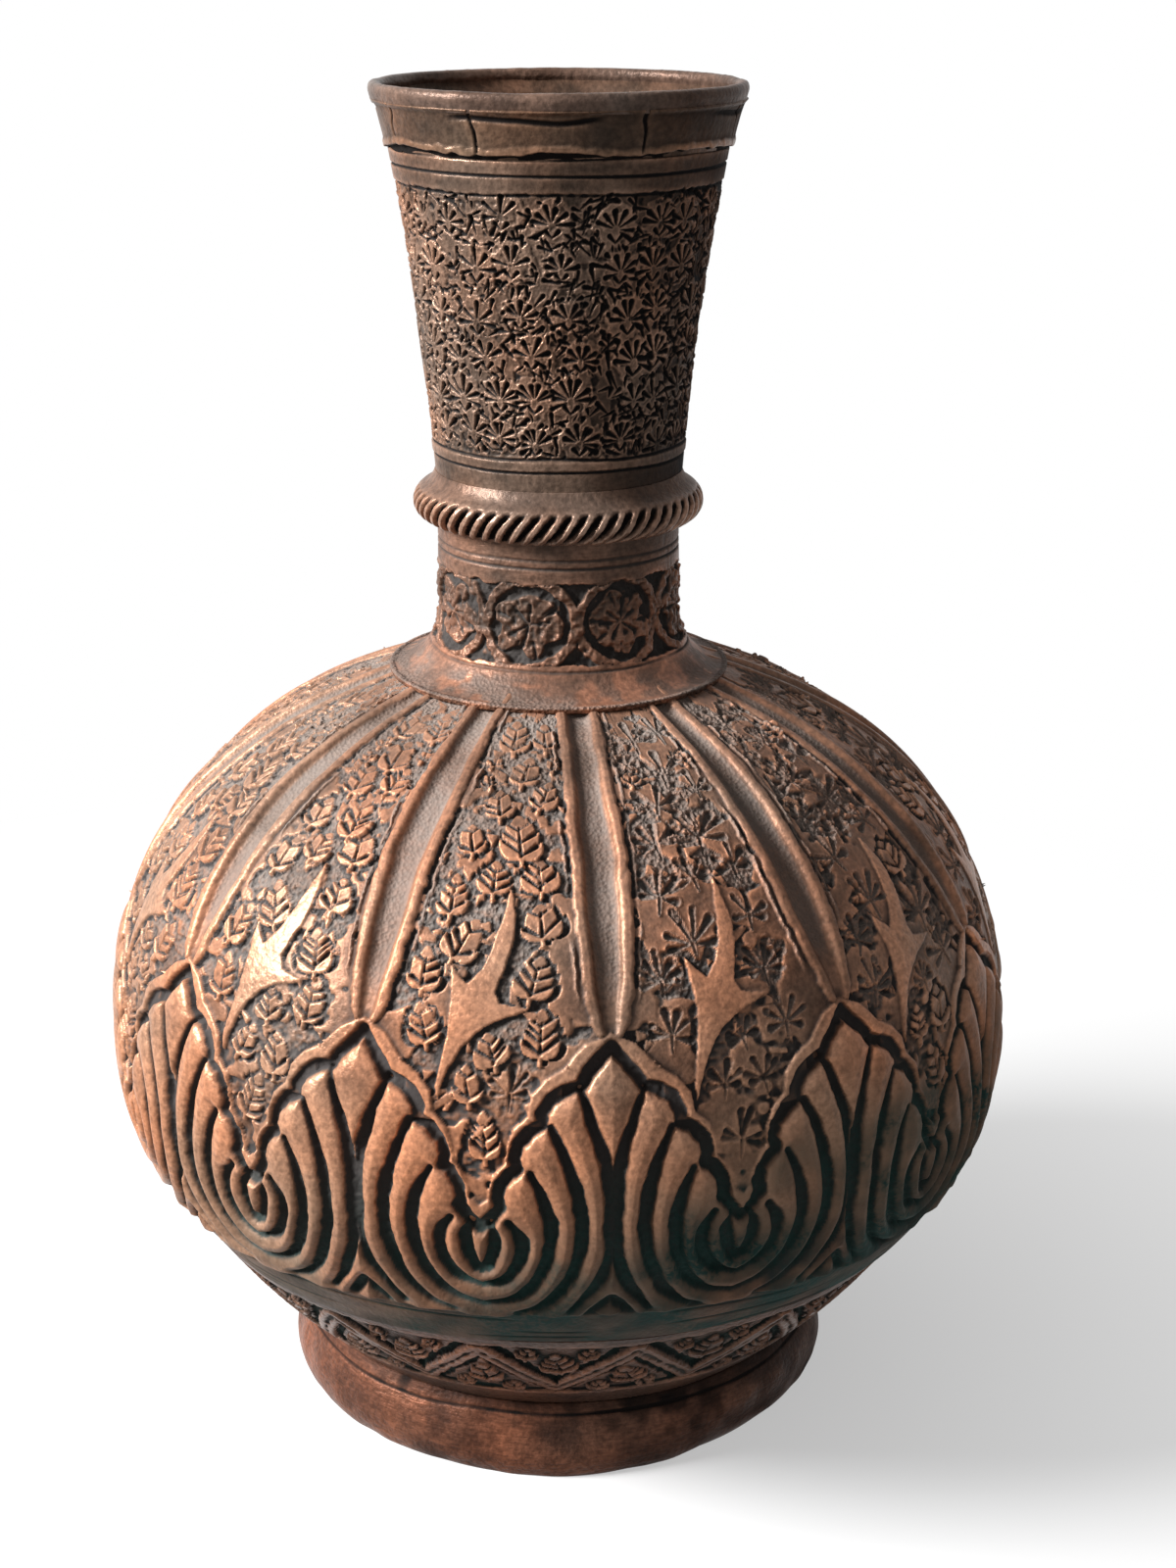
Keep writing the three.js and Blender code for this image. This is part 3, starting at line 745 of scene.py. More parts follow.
# This side keeps scraps of the old surface, and further down its flute crests are dimmed as painted
# shade.
kept_and_shaded_side = unit(0.55 + 0.6 * body.facing(kept_and_shaded_turn))
kept = ease(body.hills(6, 24) + 0.5 * body.hills(2, 25) + 0.75 * kept_and_shaded_side, 0.45, 0.7)
body.lift = np.where(is_flute, ridge - hollow, -ground_depth + 0.6 * kept)
side_line = fade(np.abs(x - outer - 1.1), 0.15, 0.5) * ease(body.hills(12, 23), -0.5, 0)
side_line *= ~is_flute * body.climb(78, 84)
body.lift += 0.45 * side_line
body.lift[girdle_rows] = np.where(girdle_panel, body.lift[girdle_rows], girdle_relief)
panels = (~is_flute).astype(float)
panels[girdle_rows] *= girdle_panel
print("panels cover", round(float(panels.mean()) * 100), "% of the grid")

# %% [markdown]
# Every panel holds a long horn-shaped leaf and some two dozen small ones. On the left a small leaf is
# raised: a spade with a midrib and slanting veins, and between two veins a lobe that tilts like a
# scale. On the right it is sunk: a fan of strokes into the old surface, with dust in them. The
# places are the same in each panel, as on the vase, and the hand that cut them varies: size, tilt
# and cuts are drawn again for each leaf.

# %% Leaf tool
fan_spread = 190


def leaf_patch(sheet, rng, centre, up, tall):
    """The places round a leaf, measured from its middle and along its own leaning axis."""
    reach = math.degrees((tall + 2) / sheet.radius_at(up))
    at, x, y = sheet.patch(centre, reach, up - tall, up + tall)
    tilt = rng.normal(0, 0.2)
    y = y - up
    turned_x = x * math.cos(tilt) - y * math.sin(tilt)
    return at, turned_x, x * math.sin(tilt) + y * math.cos(tilt)


def raise_leaf(sheet, rng, centre, up, width, tall, rise=0.75):
    """A raised leaf with its veins, centred at a turn in degrees and a run in millimetres."""
    at, x, y = leaf_patch(sheet, rng, centre, up, tall)
    half_wide, half_tall = width / 2, tall / 2
    cut = chisel(x, y, (0, -half_tall * 0.8), (0, half_tall * 0.45), 0.9, 0.5)
    lobes = np.zeros_like(x)
    for side in (-1, 1):
        slant = rng.uniform(0.45, 1.0)
        count = max(2, round(tall / 3.6)) + rng.integers(0, 2)
        veins = np.linspace(-0.8, 0.3, count) * half_tall + rng.normal(0, 0.3, count)
        steps = np.sort(np.append(veins - 0.01, veins + 0.01))
        tilted = np.interp(y - slant * np.abs(x), steps, np.tile((0.2, -0.25), count))
        lobes = np.where(side * x > 0, tilted, lobes)
        for vein in veins:
            out = rng.uniform(0.7, 1.0) * half_wide
            stroke = chisel(x, y, (side * 0.1, vein), (side * out, vein + slant * out),
                            0.6, rng.uniform(0.9, 1.6))
            cut = np.maximum(cut, stroke)
    tip_share = unit((1 - y / half_tall) / 2)
    spade = 1.97 * tip_share**0.72 * (1 - tip_share) ** 0.33
    within = spade * half_wide - np.abs(x) + 1.7 * lobes * ease(np.abs(x), 0.5, 1.5)
    within += (sheet.bob[at] + sheet.sway[at]) * 0.45
    blob = ease(within, -0.12, 0.12) * (np.abs(y) < half_tall)
    stem = ease(0.5 - beside(x, y, (0, -half_tall - 1.0), (0, -half_tall * 0.8))[1], -0.15, 0.2)
    blob = np.maximum(blob, stem)
    top = (rise + lobes) * blob + carve(cut, 2.0) * blob
    floor = sheet.lift[at]
    around = ease(within, -1.5, -1.0) * (np.abs(y) < half_tall + 1) * (floor < 0)
    floor = np.where(around > 0, np.minimum(floor, floor + (-ground_depth - floor) * around), floor)
    sheet.lift[at] = np.where(blob > 0.02, np.maximum(floor + top, floor - 0.3), floor)


def sink_leaf(sheet, rng, centre, up, tall):
    """A leaf of strokes cut into the surface. Gives back its places and how deep in a cut they lie."""
    at, x, y = leaf_patch(sheet, rng, centre, up, tall)
    y = y + 0.2 * tall
    cut = np.full_like(x, UNCUT)
    spokes = rng.integers(5, 8)
    for spoke in range(spokes):
        angle = math.radians(90 + (spoke / (spokes - 1) - 0.5) * fan_spread + rng.normal(0, 7))
        far = (rng.uniform(0.3, 0.42) + 0.2 * max(0, math.sin(angle))) * tall
        cut = np.maximum(cut, ray(x, y, angle, 0.8, far, 0.5, rng.uniform(1.2, 2.3)))
    return at, np.maximum(cut, chisel(x, y, (0, -0.35 * tall), (0, 0), 0.3, 0.8))


# %% [markdown]
# The horn is an outline, and the small leaves are a list: the share of half a panel to the side,
# the level, the width and the height of each. The chance that a leaf is sunk differs from panel to
# panel, and it is largest where the picture shows cut strokes.

# %% Horns and leaves of the panels
horn = [(0.12, 102), (0.16, 99), (0.193, 95.5), (0.202, 91.9), (0.174, 88.3), (0.119, 84.1),
        (0.079, 80.9), (0.119, 78.9), (0.226, 78.2), (0.357, 77.7), (0.226, 76.3), (0.083, 75.2),
        (-0.06, 73.1), (-0.179, 70.2), (-0.262, 66.3), (-0.31, 62.7), (-0.34, 59.7),
        (-0.364, 62.7), (-0.34, 67.5), (-0.31, 72.8), (-0.298, 78.2), (-0.317, 83),
        (-0.326, 86.6), (-0.25, 84.1), (-0.167, 82.4), (-0.06, 85.3), (0.012, 89.5), (0.06, 93.7),
        (0.095, 98.4)]
leaves = [(-0.167, 138.6, 5.4, 9), (0.357, 139.2, 4.4, 8.5), (0.107, 129.1, 6, 8.4),
          (-0.369, 131.5, 3, 3.5), (-0.393, 126.4, 3, 3.5), (0.488, 130.6, 3, 4),
          (-0.155, 119.9, 6.6, 8.6), (0.369, 123.4, 5.2, 7.1), (0.167, 112.7, 7.7, 10.6),
          (-0.369, 110.9, 6.2, 8.3), (-0.071, 103.8, 6.3, 7.1), (0.381, 105, 7.5, 8.3),
          (-0.417, 99.9, 5.6, 8.6), (-0.238, 91.3, 7.2, 10), (0.417, 94.9, 7.3, 7.7),
          (-0.548, 84.1, 6, 8.4), (0.393, 84.2, 7.6, 9.4), (-0.524, 73.8, 6.4, 8.8),
          (0.06, 70.8, 6.4, 6.2), (0.464, 73.6, 6.8, 9.2), (-0.107, 63.4, 5.2, 7.4),
          (0.214, 63.6, 6, 7.4), (0.03, 53.1, 5.6, 9.4)]
rng = np.random.default_rng(7)
half_panel = pitch / 2
polished = np.zeros_like(body.lift)
powder = np.zeros_like(body.lift)
sunk_share = [0.85, 0.7, 0.8, 0.4, 0.2, 0.3, 0.6, 0.3, 0.2, 0.1, 0.05, 0.1]
horn_low, horn_high = 56, 106

for panel in range(flute_count):
    middle = first_valley + panel * pitch
    at, across, up = body.patch(middle, half_panel * 0.6, horn_low, horn_high)
    outline = [(math.radians(share * half_panel) * body.radius_at(run), run)
               for share, run in horn]
    gap = signed_gap(across, up, outline) + body.hills(1.3, 31)[at] * 0.14
    standing = ease(gap, -0.15, 0.2) * (0.95 + 0.15 * ease(gap, 0, 3)) * panels[at]
    body.lift[at] = np.maximum(body.lift[at], -ground_depth + standing)
    polished[at] = np.maximum(polished[at], ease(gap, 0.1, 0.5) * panels[at])
    for share, up, width, tall in leaves:
        size = rng.normal(1, 0.06)
        centre = middle + (share + rng.normal(0, 0.012)) * half_panel
        up = up + rng.normal(0, 0.5)
        if rng.uniform() < sunk_share[panel]:
            at, cut = sink_leaf(body, rng, centre, up, 1.1 * tall * size)
            strokes = panels[at] * (polished[at] < 0.2)
            body.lift[at] += carve(cut, 1.2, 0.6, 0.2) * strokes
            powder[at] = np.maximum(powder[at], ease(cut, -0.25, 0.1) * strokes)
        else:
            raise_leaf(body, rng, centre, up, 0.98 * width * size, tall * size)
print("leaves of the panels:", flute_count * len(leaves))

# %% [markdown]
# Between the leaves the ground is not empty: small scraps of the old surface were left standing,
# and the ground itself is dotted by the punch. Below the girdle runs a plain band that laps over
# the cup. At last the whole sheet gets the slow dents of raising.

# %% Ground and dents
def leave_scraps(sheet, rng, count, low, high, mask, size, rise=0.6):
    """Small torn bits of the old surface, left standing in the ground."""
    for _ in range(count):
        centre, up = rng.uniform(0, 360), rng.uniform(low, high)
        at, x, y = sheet.patch(centre, math.degrees(3 / sheet.radius_at(up)), up - 3, up + 3)
        angles = rng.uniform(0, 6.3) + np.array([0, 2.1, 4.2]) + rng.normal(0, 0.35, 3)
        sides = [x * math.cos(angle) + (y - up) * math.sin(angle) for angle in angles]
        gap = rng.uniform(*size) * 0.7 - np.maximum.reduce(sides)
        free = (sheet.lift[at] < -ground_depth * 0.8) & (mask[at] > 0.5)
        sheet.lift[at] += np.where(free, ease(gap, -0.1, 0.25) * rise, 0)


leave_scraps(body, rng, 1500, 74, 150, panels, size=(0.5, 1.4))
leave_scraps(body, rng, 260, 50, 74, panels, size=(0.5, 1.3))
ground = ease(-body.lift, 0.4, 0.6) * panels
body.lift += (body.hills(0.7, 41) * 0.2 + body.hills(1.6, 42) * 0.18) * ground
body.lift *= 1 - (0.2 + 0.25 * panels) * body.climb(105, 146)
for number, line in enumerate((2.0, 5.6, 9.8)):
    depth = 0.3 * ease(body.hills(12, 46 + 10 * number), -0.3, 0.5)
    body.scribe(line, depth, body.hills(24, 43 + 10 * number) * 1.1)
mark_hollows(body)
# On the flutes the rubbed crests are dimmed, most on the right: painted shade on the side away from
# the lamp.
body.marks["crest"] *= 1 - (0.15 + 0.55 * kept_and_shaded_side) * is_flute
body.mark("crest", 0.95 * polished)
body.marks["hollow"] *= 1 - 0.75 * powder

# %% [markdown]
# Now the body's other marks. The plain band and the foot of the girdle are made darker, most on
# the front right, and painted shade darkens the lower right side, away from the lamp. The bottoms
# of the channels are clean. Dust lies where a cloth doesn't reach, which is on the ground, in the
# strokes and along the flutes, and damp has crept up from below.

# %% Wear and painted shade of the body
damp_turn, damp_rise_turn = 30, 75

damp_side = body.facing(damp_turn)
# Darker towards the bottom, most on the front right.
low_darkening_and_shade = fade(body.up, 12, 52) * np.clip(0.3 + 0.8 * damp_side, 0.1, 1)
low_darkening_and_shade = np.maximum(low_darkening_and_shade, 0.8 * fade(body.up, 9, 14))
low_darkening_and_shade *= 0.75 + 0.5 * body.hills(7, 47) + 0.35 * body.hills(2.5, 48)
# Painted shade: the lower part of the right side, away from the lamp, is darkened.
low_darkening_and_shade += 0.7 * painted_shade_side(body) * fade(body.up, 8, 40)
body.marks["deep"] = unit(body.marks["deep"] + 0.55 * low_darkening_and_shade)
body.lift += body.hills(26, 44) * 0.3 + body.hills(9, 45) * 0.1
body.lift -= 0.7 * body.climb(112, 150)
channels = 0.55 * (1 - panels) * ease(-body.lift, 0.5, 1.1) * body.climb(70, 85)
for mark in ("hollow", "deep"):
    body.marks[mark] *= 1 - 0.85 * (x < channel) * body.climb(72, 76)
sheltered = np.maximum.reduce([ground, channels, 0.9 * powder, 0.8 * side_line])
body.marks["ground"] = sheltered * body.climb(50, 88)
damp = fade(body.up - 22 * unit(body.facing(damp_rise_turn)), 16, 50)
damp *= unit(0.3 + 0.8 * damp_side)
body.marks["damp"] = damp * unit(body.marks["hollow"] + 0.75 + 0.3 * body.hills(9, 49))
# The body's grey dirt colour is partly dirt and partly a painted reflection, the cool grey that the
# grooves reflect. It also paints shade where the marks ask for it.
put_in_place("chased_body", body, "body_shell", copper_finish(
    "body copper", colour(192, 137, 105), colour(108, 79, 63), dirt_and_shade_colour=colour(64, 60, 59),
    rub=0.68, dust=0.72, green=1.2, dirt_and_shade_reach=1.2))

# %% [markdown]
# ## The foot and the cup
# The foot is a plain collar, hammered round and left so, and knocked in a little at the right.

# %% Foot ring
foot_top = level("foot_ring", 1)
seat_radius = 56.2
foot_outside = bezier([(57.7, 0), (60.2, 3.4), (60.2, 9.4), (seat_radius, foot_top)])
ledge_inside = 49.7
foot_back = [(ledge_inside, foot_top), (ledge_inside, foot_top - 1.8), (54.0, foot_top - 2.9),
             (57.2, 6.9), (55.5, 0)]
knock_turn, knock_width, knock_depth = 46, 20, 1.9

foot = Sheet(foot_outside, foot_back, row_gap=0.35, column_gap=0.4)
foot.lift += foot.hills(14, 51) * 0.35 + foot.hills(5, 52) * 0.16
knock = np.exp(-(((foot.degrees - knock_turn) / knock_width) ** 2))
foot.lift -= knock_depth * knock * fade(foot.up, 3, 12)
foot.scribe(14.8, 0.3, foot.hills(16, 53) * 0.5)
# This also paints shade on the side away from the lamp.
mark_hollows(foot, side_shade_share=0.5)
stains = ease(foot.hills(9, 54) + 0.7 * foot.hills(3, 55), 0.1, 1.0)
foot.marks["deep"] = unit(foot.marks["deep"] + 0.45 * stains + 0.45 * foot.climb(11, 18))
put_in_place("hammered_foot", foot, "foot_ring", copper_finish(
    "foot copper", colour(150, 98, 74), colour(70, 47, 38), rub=0.7, dust=0.1, dents=1.8,
    pits=1.5, scratches=0.9))

# %% [markdown]
# The cup is a cone with a zigzag strap between two lines, and small sprigs in its triangles. Its
# rim is turned in under the body's edge.

# %% Zigzag cup
cup_foot = level("base_cup", 0)
cup_top = body_foot - 0.3
share = np.linspace(0, 1, 120)
cup_outside = np.column_stack([
    seat_radius + (edge_radius - 0.5 - seat_radius) * share + 1.6 * np.sin(math.pi * share),
    cup_foot + (cup_top - cup_foot) * share,
])


def within_body(height, depth):
    """Radius of the body's inner side at a height, and a depth further in."""
    return float(np.interp(height, body_line[:, 1], body_line[:, 0])) - depth


rim_level = level("base_cup", 1)
tuck = within_body(body_foot, body_wall + 0.9)
cup_back = [(tuck, cup_top), (tuck + 0.2, body_foot + 1), (within_body(rim_level, 3.2), rim_level),
            (within_body(rim_level, 5.0), rim_level), (tuck - 1.8, cup_top - 1.8),
            (68.1, 31.5), (54.4, cup_foot)]
cup = Sheet(cup_outside, cup_back, row_gap=0.3, column_gap=0.36)
zigzags = 15
first_peak = 11.9
zig_low, zig_high = 12.5, 33.0
zig_radius = 69
strap_half = 1.9
ground_cut = 0.8
zig_pitch = 360 / zigzags

x = np.abs(np.radians(cup.folded(first_peak, zig_pitch)) * zig_radius + cup.sway)
y = cup.up + cup.bob
leg_gap = line_gap(x, y, [(0, zig_high), (math.radians(zig_pitch / 2) * zig_radius, zig_low)])
fray = cup.hills(1.2, 61) * 0.35 + cup.hills(3, 64) * 0.4
in_band = ease(y, zig_low - 3.5, zig_low - 2.9) * fade(y, zig_high + 2.2, zig_high + 2.8)
cup.lift = -ground_cut * ease(leg_gap + fray, strap_half, strap_half + 0.5) * in_band
cup.lift -= 0.35 * fade(leg_gap + fray, 0.1, 0.55) * in_band
beside_strap = np.abs(leg_gap - strap_half - 1.0) + fray
cup.lift -= ground_cut * fade(beside_strap, 0.5, 1.3) * in_band
for line in (zig_low - 3.2, zig_high + 2.5):
    cup.scribe(line, 0.3, -cup.bob, (0.1, 0.55), fray)
for peak in range(zigzags):
    under = first_peak + peak * zig_pitch
    over = under + zig_pitch / 2
    for middle, aside, big_level, small_level, width in ((under, 4.4, 19.5, 13.2, 6.5),
                                                         (over, 4.6, 27.8, 32.2, 6.8)):
        raise_leaf(cup, rng, middle, big_level + rng.normal(0, 0.4), width, 8.5, rise=0.7)
        for side in (-aside, aside):
            raise_leaf(cup, rng, middle + side, small_level, 3.6, 4.2, rise=0.7)
mark_hollows(cup)
cup.marks["hollow"] = unit(cup.marks["hollow"] * 1.6)
cup.lift += cup.hills(16, 62) * 0.18 + cup.hills(0.9, 63) * 0.05
cup.marks["ground"] = 0.4 * (leg_gap > strap_half) * in_band
cup.marks["damp"] = unit(cup.marks["hollow"] * 0.6 + 0.3 * cup.hills(12, 65))
put_in_place("zigzag_cup", cup, "base_cup", copper_finish(
    "cup copper", colour(136, 96, 76), colour(66, 49, 42), rub=0.62, dust=0.12, green=0.8,
    dirt_and_shade_reach=1.4, scratches=0.6))

# %% [markdown]
# ## The lower neck
# A short tube with a skirt that laps over the shoulder. The skirt is a quarter of an oval that
# starts on the shoulder's own curve.

# %% Lower neck
neck_joint = level("lower_neck", 1)
neck_radius = 25
neck_bore = 23.4
skirt_radius = 35.3


def on_shoulder(radius, distance):
    """A place above the shoulder, found by its radius and moved off along the normal."""
    share = np.interp(-radius, -upper_belly[:, 0], np.arange(len(upper_belly)))
    place = round(float(share))
    return upper_belly[place] + normals(upper_belly)[place] * distance


skirt_foot = on_shoulder(skirt_radius, -0.9)
skirt_edge = on_shoulder(skirt_radius, 0.1)
skirt_top = body_top + 10
share = np.linspace(0, 1, 80) * math.pi / 2
flare = np.column_stack([
    skirt_edge[0] + (neck_radius - skirt_edge[0]) * np.sin(share),
    skirt_edge[1] + (skirt_top - skirt_edge[1]) * (1 - np.cos(share)),
])
neck_outside = np.vstack([skirt_foot, flare, (neck_radius, neck_joint)])
neck_back = [(neck_bore, neck_joint), (neck_bore, body_top + 0.3), (opening_radius, body_top + 0.3),
             on_shoulder(28.5, 0.0), on_shoulder(32, -0.5)]
neck = Sheet(neck_outside, neck_back, row_gap=0.2, column_gap=0.24)
neck_length = neck.run[-1]
print("lower neck length", round(neck_length, 1), "mm")

# %% [markdown]
# Eight roundels stand round the tube: a rosette of six petals in a sunk round, and dark corners
# between one round and the next.

# %% Roundels
roundels = 8
first_roundel = -14.6
band_low, band_high = neck_length - 29.3, neck_length - 12.5
band_middle = (band_low + band_high) / 2
round_radius = 7.7
round_depth = 1.05
petal_reach = 6.5
half_gap = math.pi * neck_radius / roundels
neck.sway *= 0.7
neck.bob *= 0.7

fray = neck.hills(0.8, 71) * 0.16 + neck.hills(2.4, 72) * 0.5
y = neck.up + neck.bob + fray
in_band = ease(y, band_low, band_low + 0.5) * fade(y, band_high - 0.5, band_high)
sunk = round_depth + neck.hills(1.4, 76) * 0.4 + neck.hills(0.7, 80) * 0.2
neck.lift -= sunk * in_band
for number in range(roundels):
    centre = first_roundel + number * 360 / roundels
    at, x, y = neck.patch(centre, 22.5, band_low - 1, band_high + 1)
    y = y - band_middle
    x = x * neck_radius / neck.line[at[0][:, 0], :1]
    rough = fray[at]
    far = np.hypot(x * 0.97, y)
    beyond = np.hypot((2 * half_gap - np.abs(x)) * 0.97, y)
    frame_work = ease(far + rough, round_radius, round_radius + 0.5)
    frame_work *= fade(np.minimum(far, beyond) + rough - round_radius - 2.2, -0.1, 0.4)
    about = np.arctan2(y, x)
    turned_by = rng.uniform(-0.5, 0.5)
    petal = petal_reach + 0.7 * np.cos(6 * (about + turned_by))
    petal += 0.5 * np.cos(2 * about + number) + 0.6 * np.cos(5 * about + 2 * number)
    flower = ease(petal - far + rough, -0.1, 0.35)
    cuts = np.zeros_like(x)
    for spoke in range(6):
        angle = spoke * math.pi / 3 + turned_by + rng.normal(0, 0.28)
        middle_cut = ray(x, y, angle, 0.5, rng.uniform(3.4, 4.8), 0.6, rng.uniform(1.1, 1.7))
        parting = ray(x, y, angle + math.pi / 6, 3.6, 6.6, 0.5, rng.uniform(1.0, 1.9))
        cuts = np.maximum.reduce([cuts, middle_cut, parting])
    top = np.maximum(flower * (0.95 + neck.sway[at] * 0.5), 1.1 * frame_work)
    shaped = -sunk[at] + top - 1.2 * cuts * flower
    neck.lift[at] = np.where(in_band[at] > 0.5, shaped, neck.lift[at])
for line, depth in ((band_low - 0.9, 0.25), (neck_length - 9.3, 0.3), (neck_length - 7.6, 0.2)):
    neck.scribe(line, depth, neck.hills(12, 73) * 0.25)

# %% [markdown]
# The skirt carries dust with rubbed smears in it, and a thick line of dust where it meets the
# shoulder. The sunk ground between the rosettes is nearly black.

# %% Wear and painted shade of the lower neck
# This also paints shade on the side away from the lamp.
mark_hollows(neck, side_shade_share=0.3)
neck.lift += neck.hills(12, 74) * 0.16 + neck.hills(0.8, 75) * 0.05 * in_band
black = ease(-neck.lift, 0.5, 0.95) * in_band
smears = ease(neck.hills(6, 78) + 0.7 * neck.hills(2, 79), 0.0, 0.8) * fade(neck.up, 9, 13)
dusty_skirt = fade(neck.up, 8, 12) * np.clip(0.55 + neck.hills(9, 77), 0.1, 1)
skirt_line = fade(neck.up, 1.6, 2.2)
neck.lift += 0.15 * skirt_line
neck.mark("hollow", 0.8 * black)
neck.marks["crest"] *= 1 - 0.65 * in_band
neck.mark("crest", 0.9 * smears)
for values in (0.7 * dusty_skirt * (1 - smears), 0.2 * black, skirt_line):
    neck.mark("ground", values)
put_in_place("roundel_neck", neck, "lower_neck", copper_finish(
    "lower neck copper", colour(162, 114, 90), colour(80, 62, 52), dirt_and_shade_colour=colour(66, 62, 60),
    rub=0.7, dust=0.42, dirt_and_shade_reach=1.25, scratches=0.5))

# %% [markdown]
# ## The rope collar
# A ring round the joint of the two neck tubes. Its upper side runs smoothly into the neck, and
# its outer and lower side is cut into leaning strands, as if twisted from wire.

# %% Rope collar
rope_depth = 4.6
rope_half = 4.1
fillet_rise = 6.4
strands = 58
strand_lean = 0.62
strand_depth = 1.85
strand_middle, strand_run = 6, 3.25

angles = np.radians(np.linspace(-90, 58, 60))
round_part = np.column_stack([neck_radius + 0.3 + rope_depth * np.cos(angles),
                              neck_joint + rope_half * np.sin(angles)])
fillet = bezier([round_part[-1], (neck_radius + 1.2, neck_joint + 4.2),
                 (neck_radius + 0.45, neck_joint + fillet_rise)])
collar_back = [(neck_radius + 0.2, neck_joint + fillet_rise), (neck_radius + 0.2, neck_joint)]
collar = Sheet(np.vstack([round_part, fillet[1:]]), collar_back, row_gap=0.16, column_gap=0.135)
lean = strand_lean * (collar.up - strand_middle) / strand_run
phase = collar.degrees / 360 * strands - lean + collar.hills(6, 81) * 0.07
phase += collar.hills(0.7, 85) * 0.035
strand = np.floor(phase) % strands
vary = np.random.default_rng(82).uniform(0.75, 1.15, strands)[strand.astype(int)]
profile = ease(np.abs(2 * (phase % 1) - 1), 0.25, 0.9)
fade_out = collar.climb(0.2, 2.0) * fade(collar.up, 8.2, 10.4)
cut = strand_depth * profile * vary * fade_out
collar.lift -= cut + collar.hills(0.7, 83) * 0.2 * fade_out * profile
# This also paints shade on the side away from the lamp.
mark_hollows(collar, 1.2, 3.0, side_shade_share=0.25)
collar.lift += collar.hills(8, 84) * 0.15
put_in_place("twisted_collar", collar, "rope_collar", copper_finish(
    "collar copper", colour(166, 128, 107), colour(80, 61, 51), rub=0.6, dust=0.2,
    dirt_and_shade_reach=1.7))

# %% [markdown]
# ## The upper neck
# The tube flares to the mouth. Its lower end is a spigot inside the collar, so the back is drawn
# down to there.

# %% Upper neck
mouth_level = level("upper_neck", 1)
mouth_radius = 36.7
neck_curve = bezier([(neck_radius, neck_joint), (neck_radius, neck_joint + 11.5),
                     (mouth_radius - 4.4, mouth_level - 6.9), (mouth_radius, mouth_level)])
curve_out = normals(neck_curve)
tube_wall = 1.85
inner_curve, _ = even_steps((neck_curve - curve_out * tube_wall)[::-1], 4)
spigot_foot = level("upper_neck", 0)
spigot_bore, spigot_wall = 22.0, 1.1
spigot_radius = spigot_bore + spigot_wall
in_bore = [point for point in inner_curve if point[0] > spigot_bore + 0.3]
tube_back = in_bore + [(spigot_bore, neck_joint + 1), (spigot_bore, spigot_foot),
                       (spigot_radius, spigot_foot), (spigot_radius, neck_joint + 0.3)]
beaker_outside = np.vstack([(neck_radius, neck_joint + 0.3), neck_curve[3:]])
beaker = Sheet(beaker_outside, tube_back, row_gap=0.2, column_gap=0.21)
beaker.sway *= 0.6
beaker.bob *= 0.6
field_low, field_high = 13.0, 64.3
print("upper neck grid", beaker.lift.shape)

# %% [markdown]
# The tube is covered with small leaves in six rows, each one a fan of five to eight chisel cuts
# over a base point. Random short cuts fill what is left between them. The cuts are plain V shapes,
# and their two walls, one lit and one dark, make the glitter of the field.

# %% Field of cut leaves
fan_rows = (60, 51, 42.3, 34, 25.2, 16.8)
fans_round = 20
short_cuts = 2600
rng = np.random.default_rng(9)
cut = np.full_like(beaker.lift, UNCUT)
between = np.full_like(beaker.lift, 2.0)


def cut_fan(sheet, rng, cut, centre, up, size):
    """Chisel cuts that spread from a base point, and two more below it."""
    at, x, y = sheet.patch(centre, math.degrees(7 / sheet.radius_at(up)), up - 6, up + 7)
    y = y - up
    tilt = rng.normal(0, 0.4)
    spokes = rng.integers(5, 9)
    for spoke in range(spokes):
        angle = math.pi / 2 + tilt + (spoke / (spokes - 1) - 0.5) * 3.5 + rng.normal(0, 0.08)
        far = rng.uniform(3.3, 4.3) * size
        stroke = ray(x, y, angle, 0.9 * size, far, 0.35, rng.uniform(1.1, 1.6))
        cut[at] = np.maximum(cut[at], stroke)
    for side in (-1, 1):
        foot_cut = chisel(x, y, (0, -2.6 * size), (side * 1.3 * size, -1.2 * size), 0.4, 1.1)
        cut[at] = np.maximum(cut[at], foot_cut)
    return at, np.hypot(x, y - 0.9) - 4.4 * size


for place, up in enumerate(fan_rows):
    for number in range(fans_round):
        centre = (number + 0.13 * place + rng.normal(0, 0.15)) * 360 / fans_round
        at, beyond = cut_fan(beaker, rng, cut, centre, up - 1.2 + rng.normal(0, 0.9),
                             rng.uniform(0.75, 1.05))
        between[at] = np.minimum(between[at], beyond)
for _ in range(short_cuts):
    centre, up = rng.uniform(0, 360), rng.uniform(field_low + 0.5, field_high - 0.3)
    at, x, y = beaker.patch(centre, math.degrees(2.4 / beaker.radius_at(up)), up - 2.4, up + 2.4)
    angle, half = rng.uniform(0, math.pi), rng.uniform(0.6, 1.9)
    chip = ray(x, y - up, angle, -half, half, 0.3, rng.uniform(0.7, 1.3))
    chip -= 0.6 * fade(between[at], -1.6, 0.1)
    cut[at] = np.maximum(cut[at], chip)
print("deepest cut of the field", round(float(cut.max()), 2), "mm from its edge")

# %% [markdown]
# The cuts go into the field, and the old surface between them is chipped away. Lines are scribed
# above and below the field, and the place where the strip covers the tube is set back.

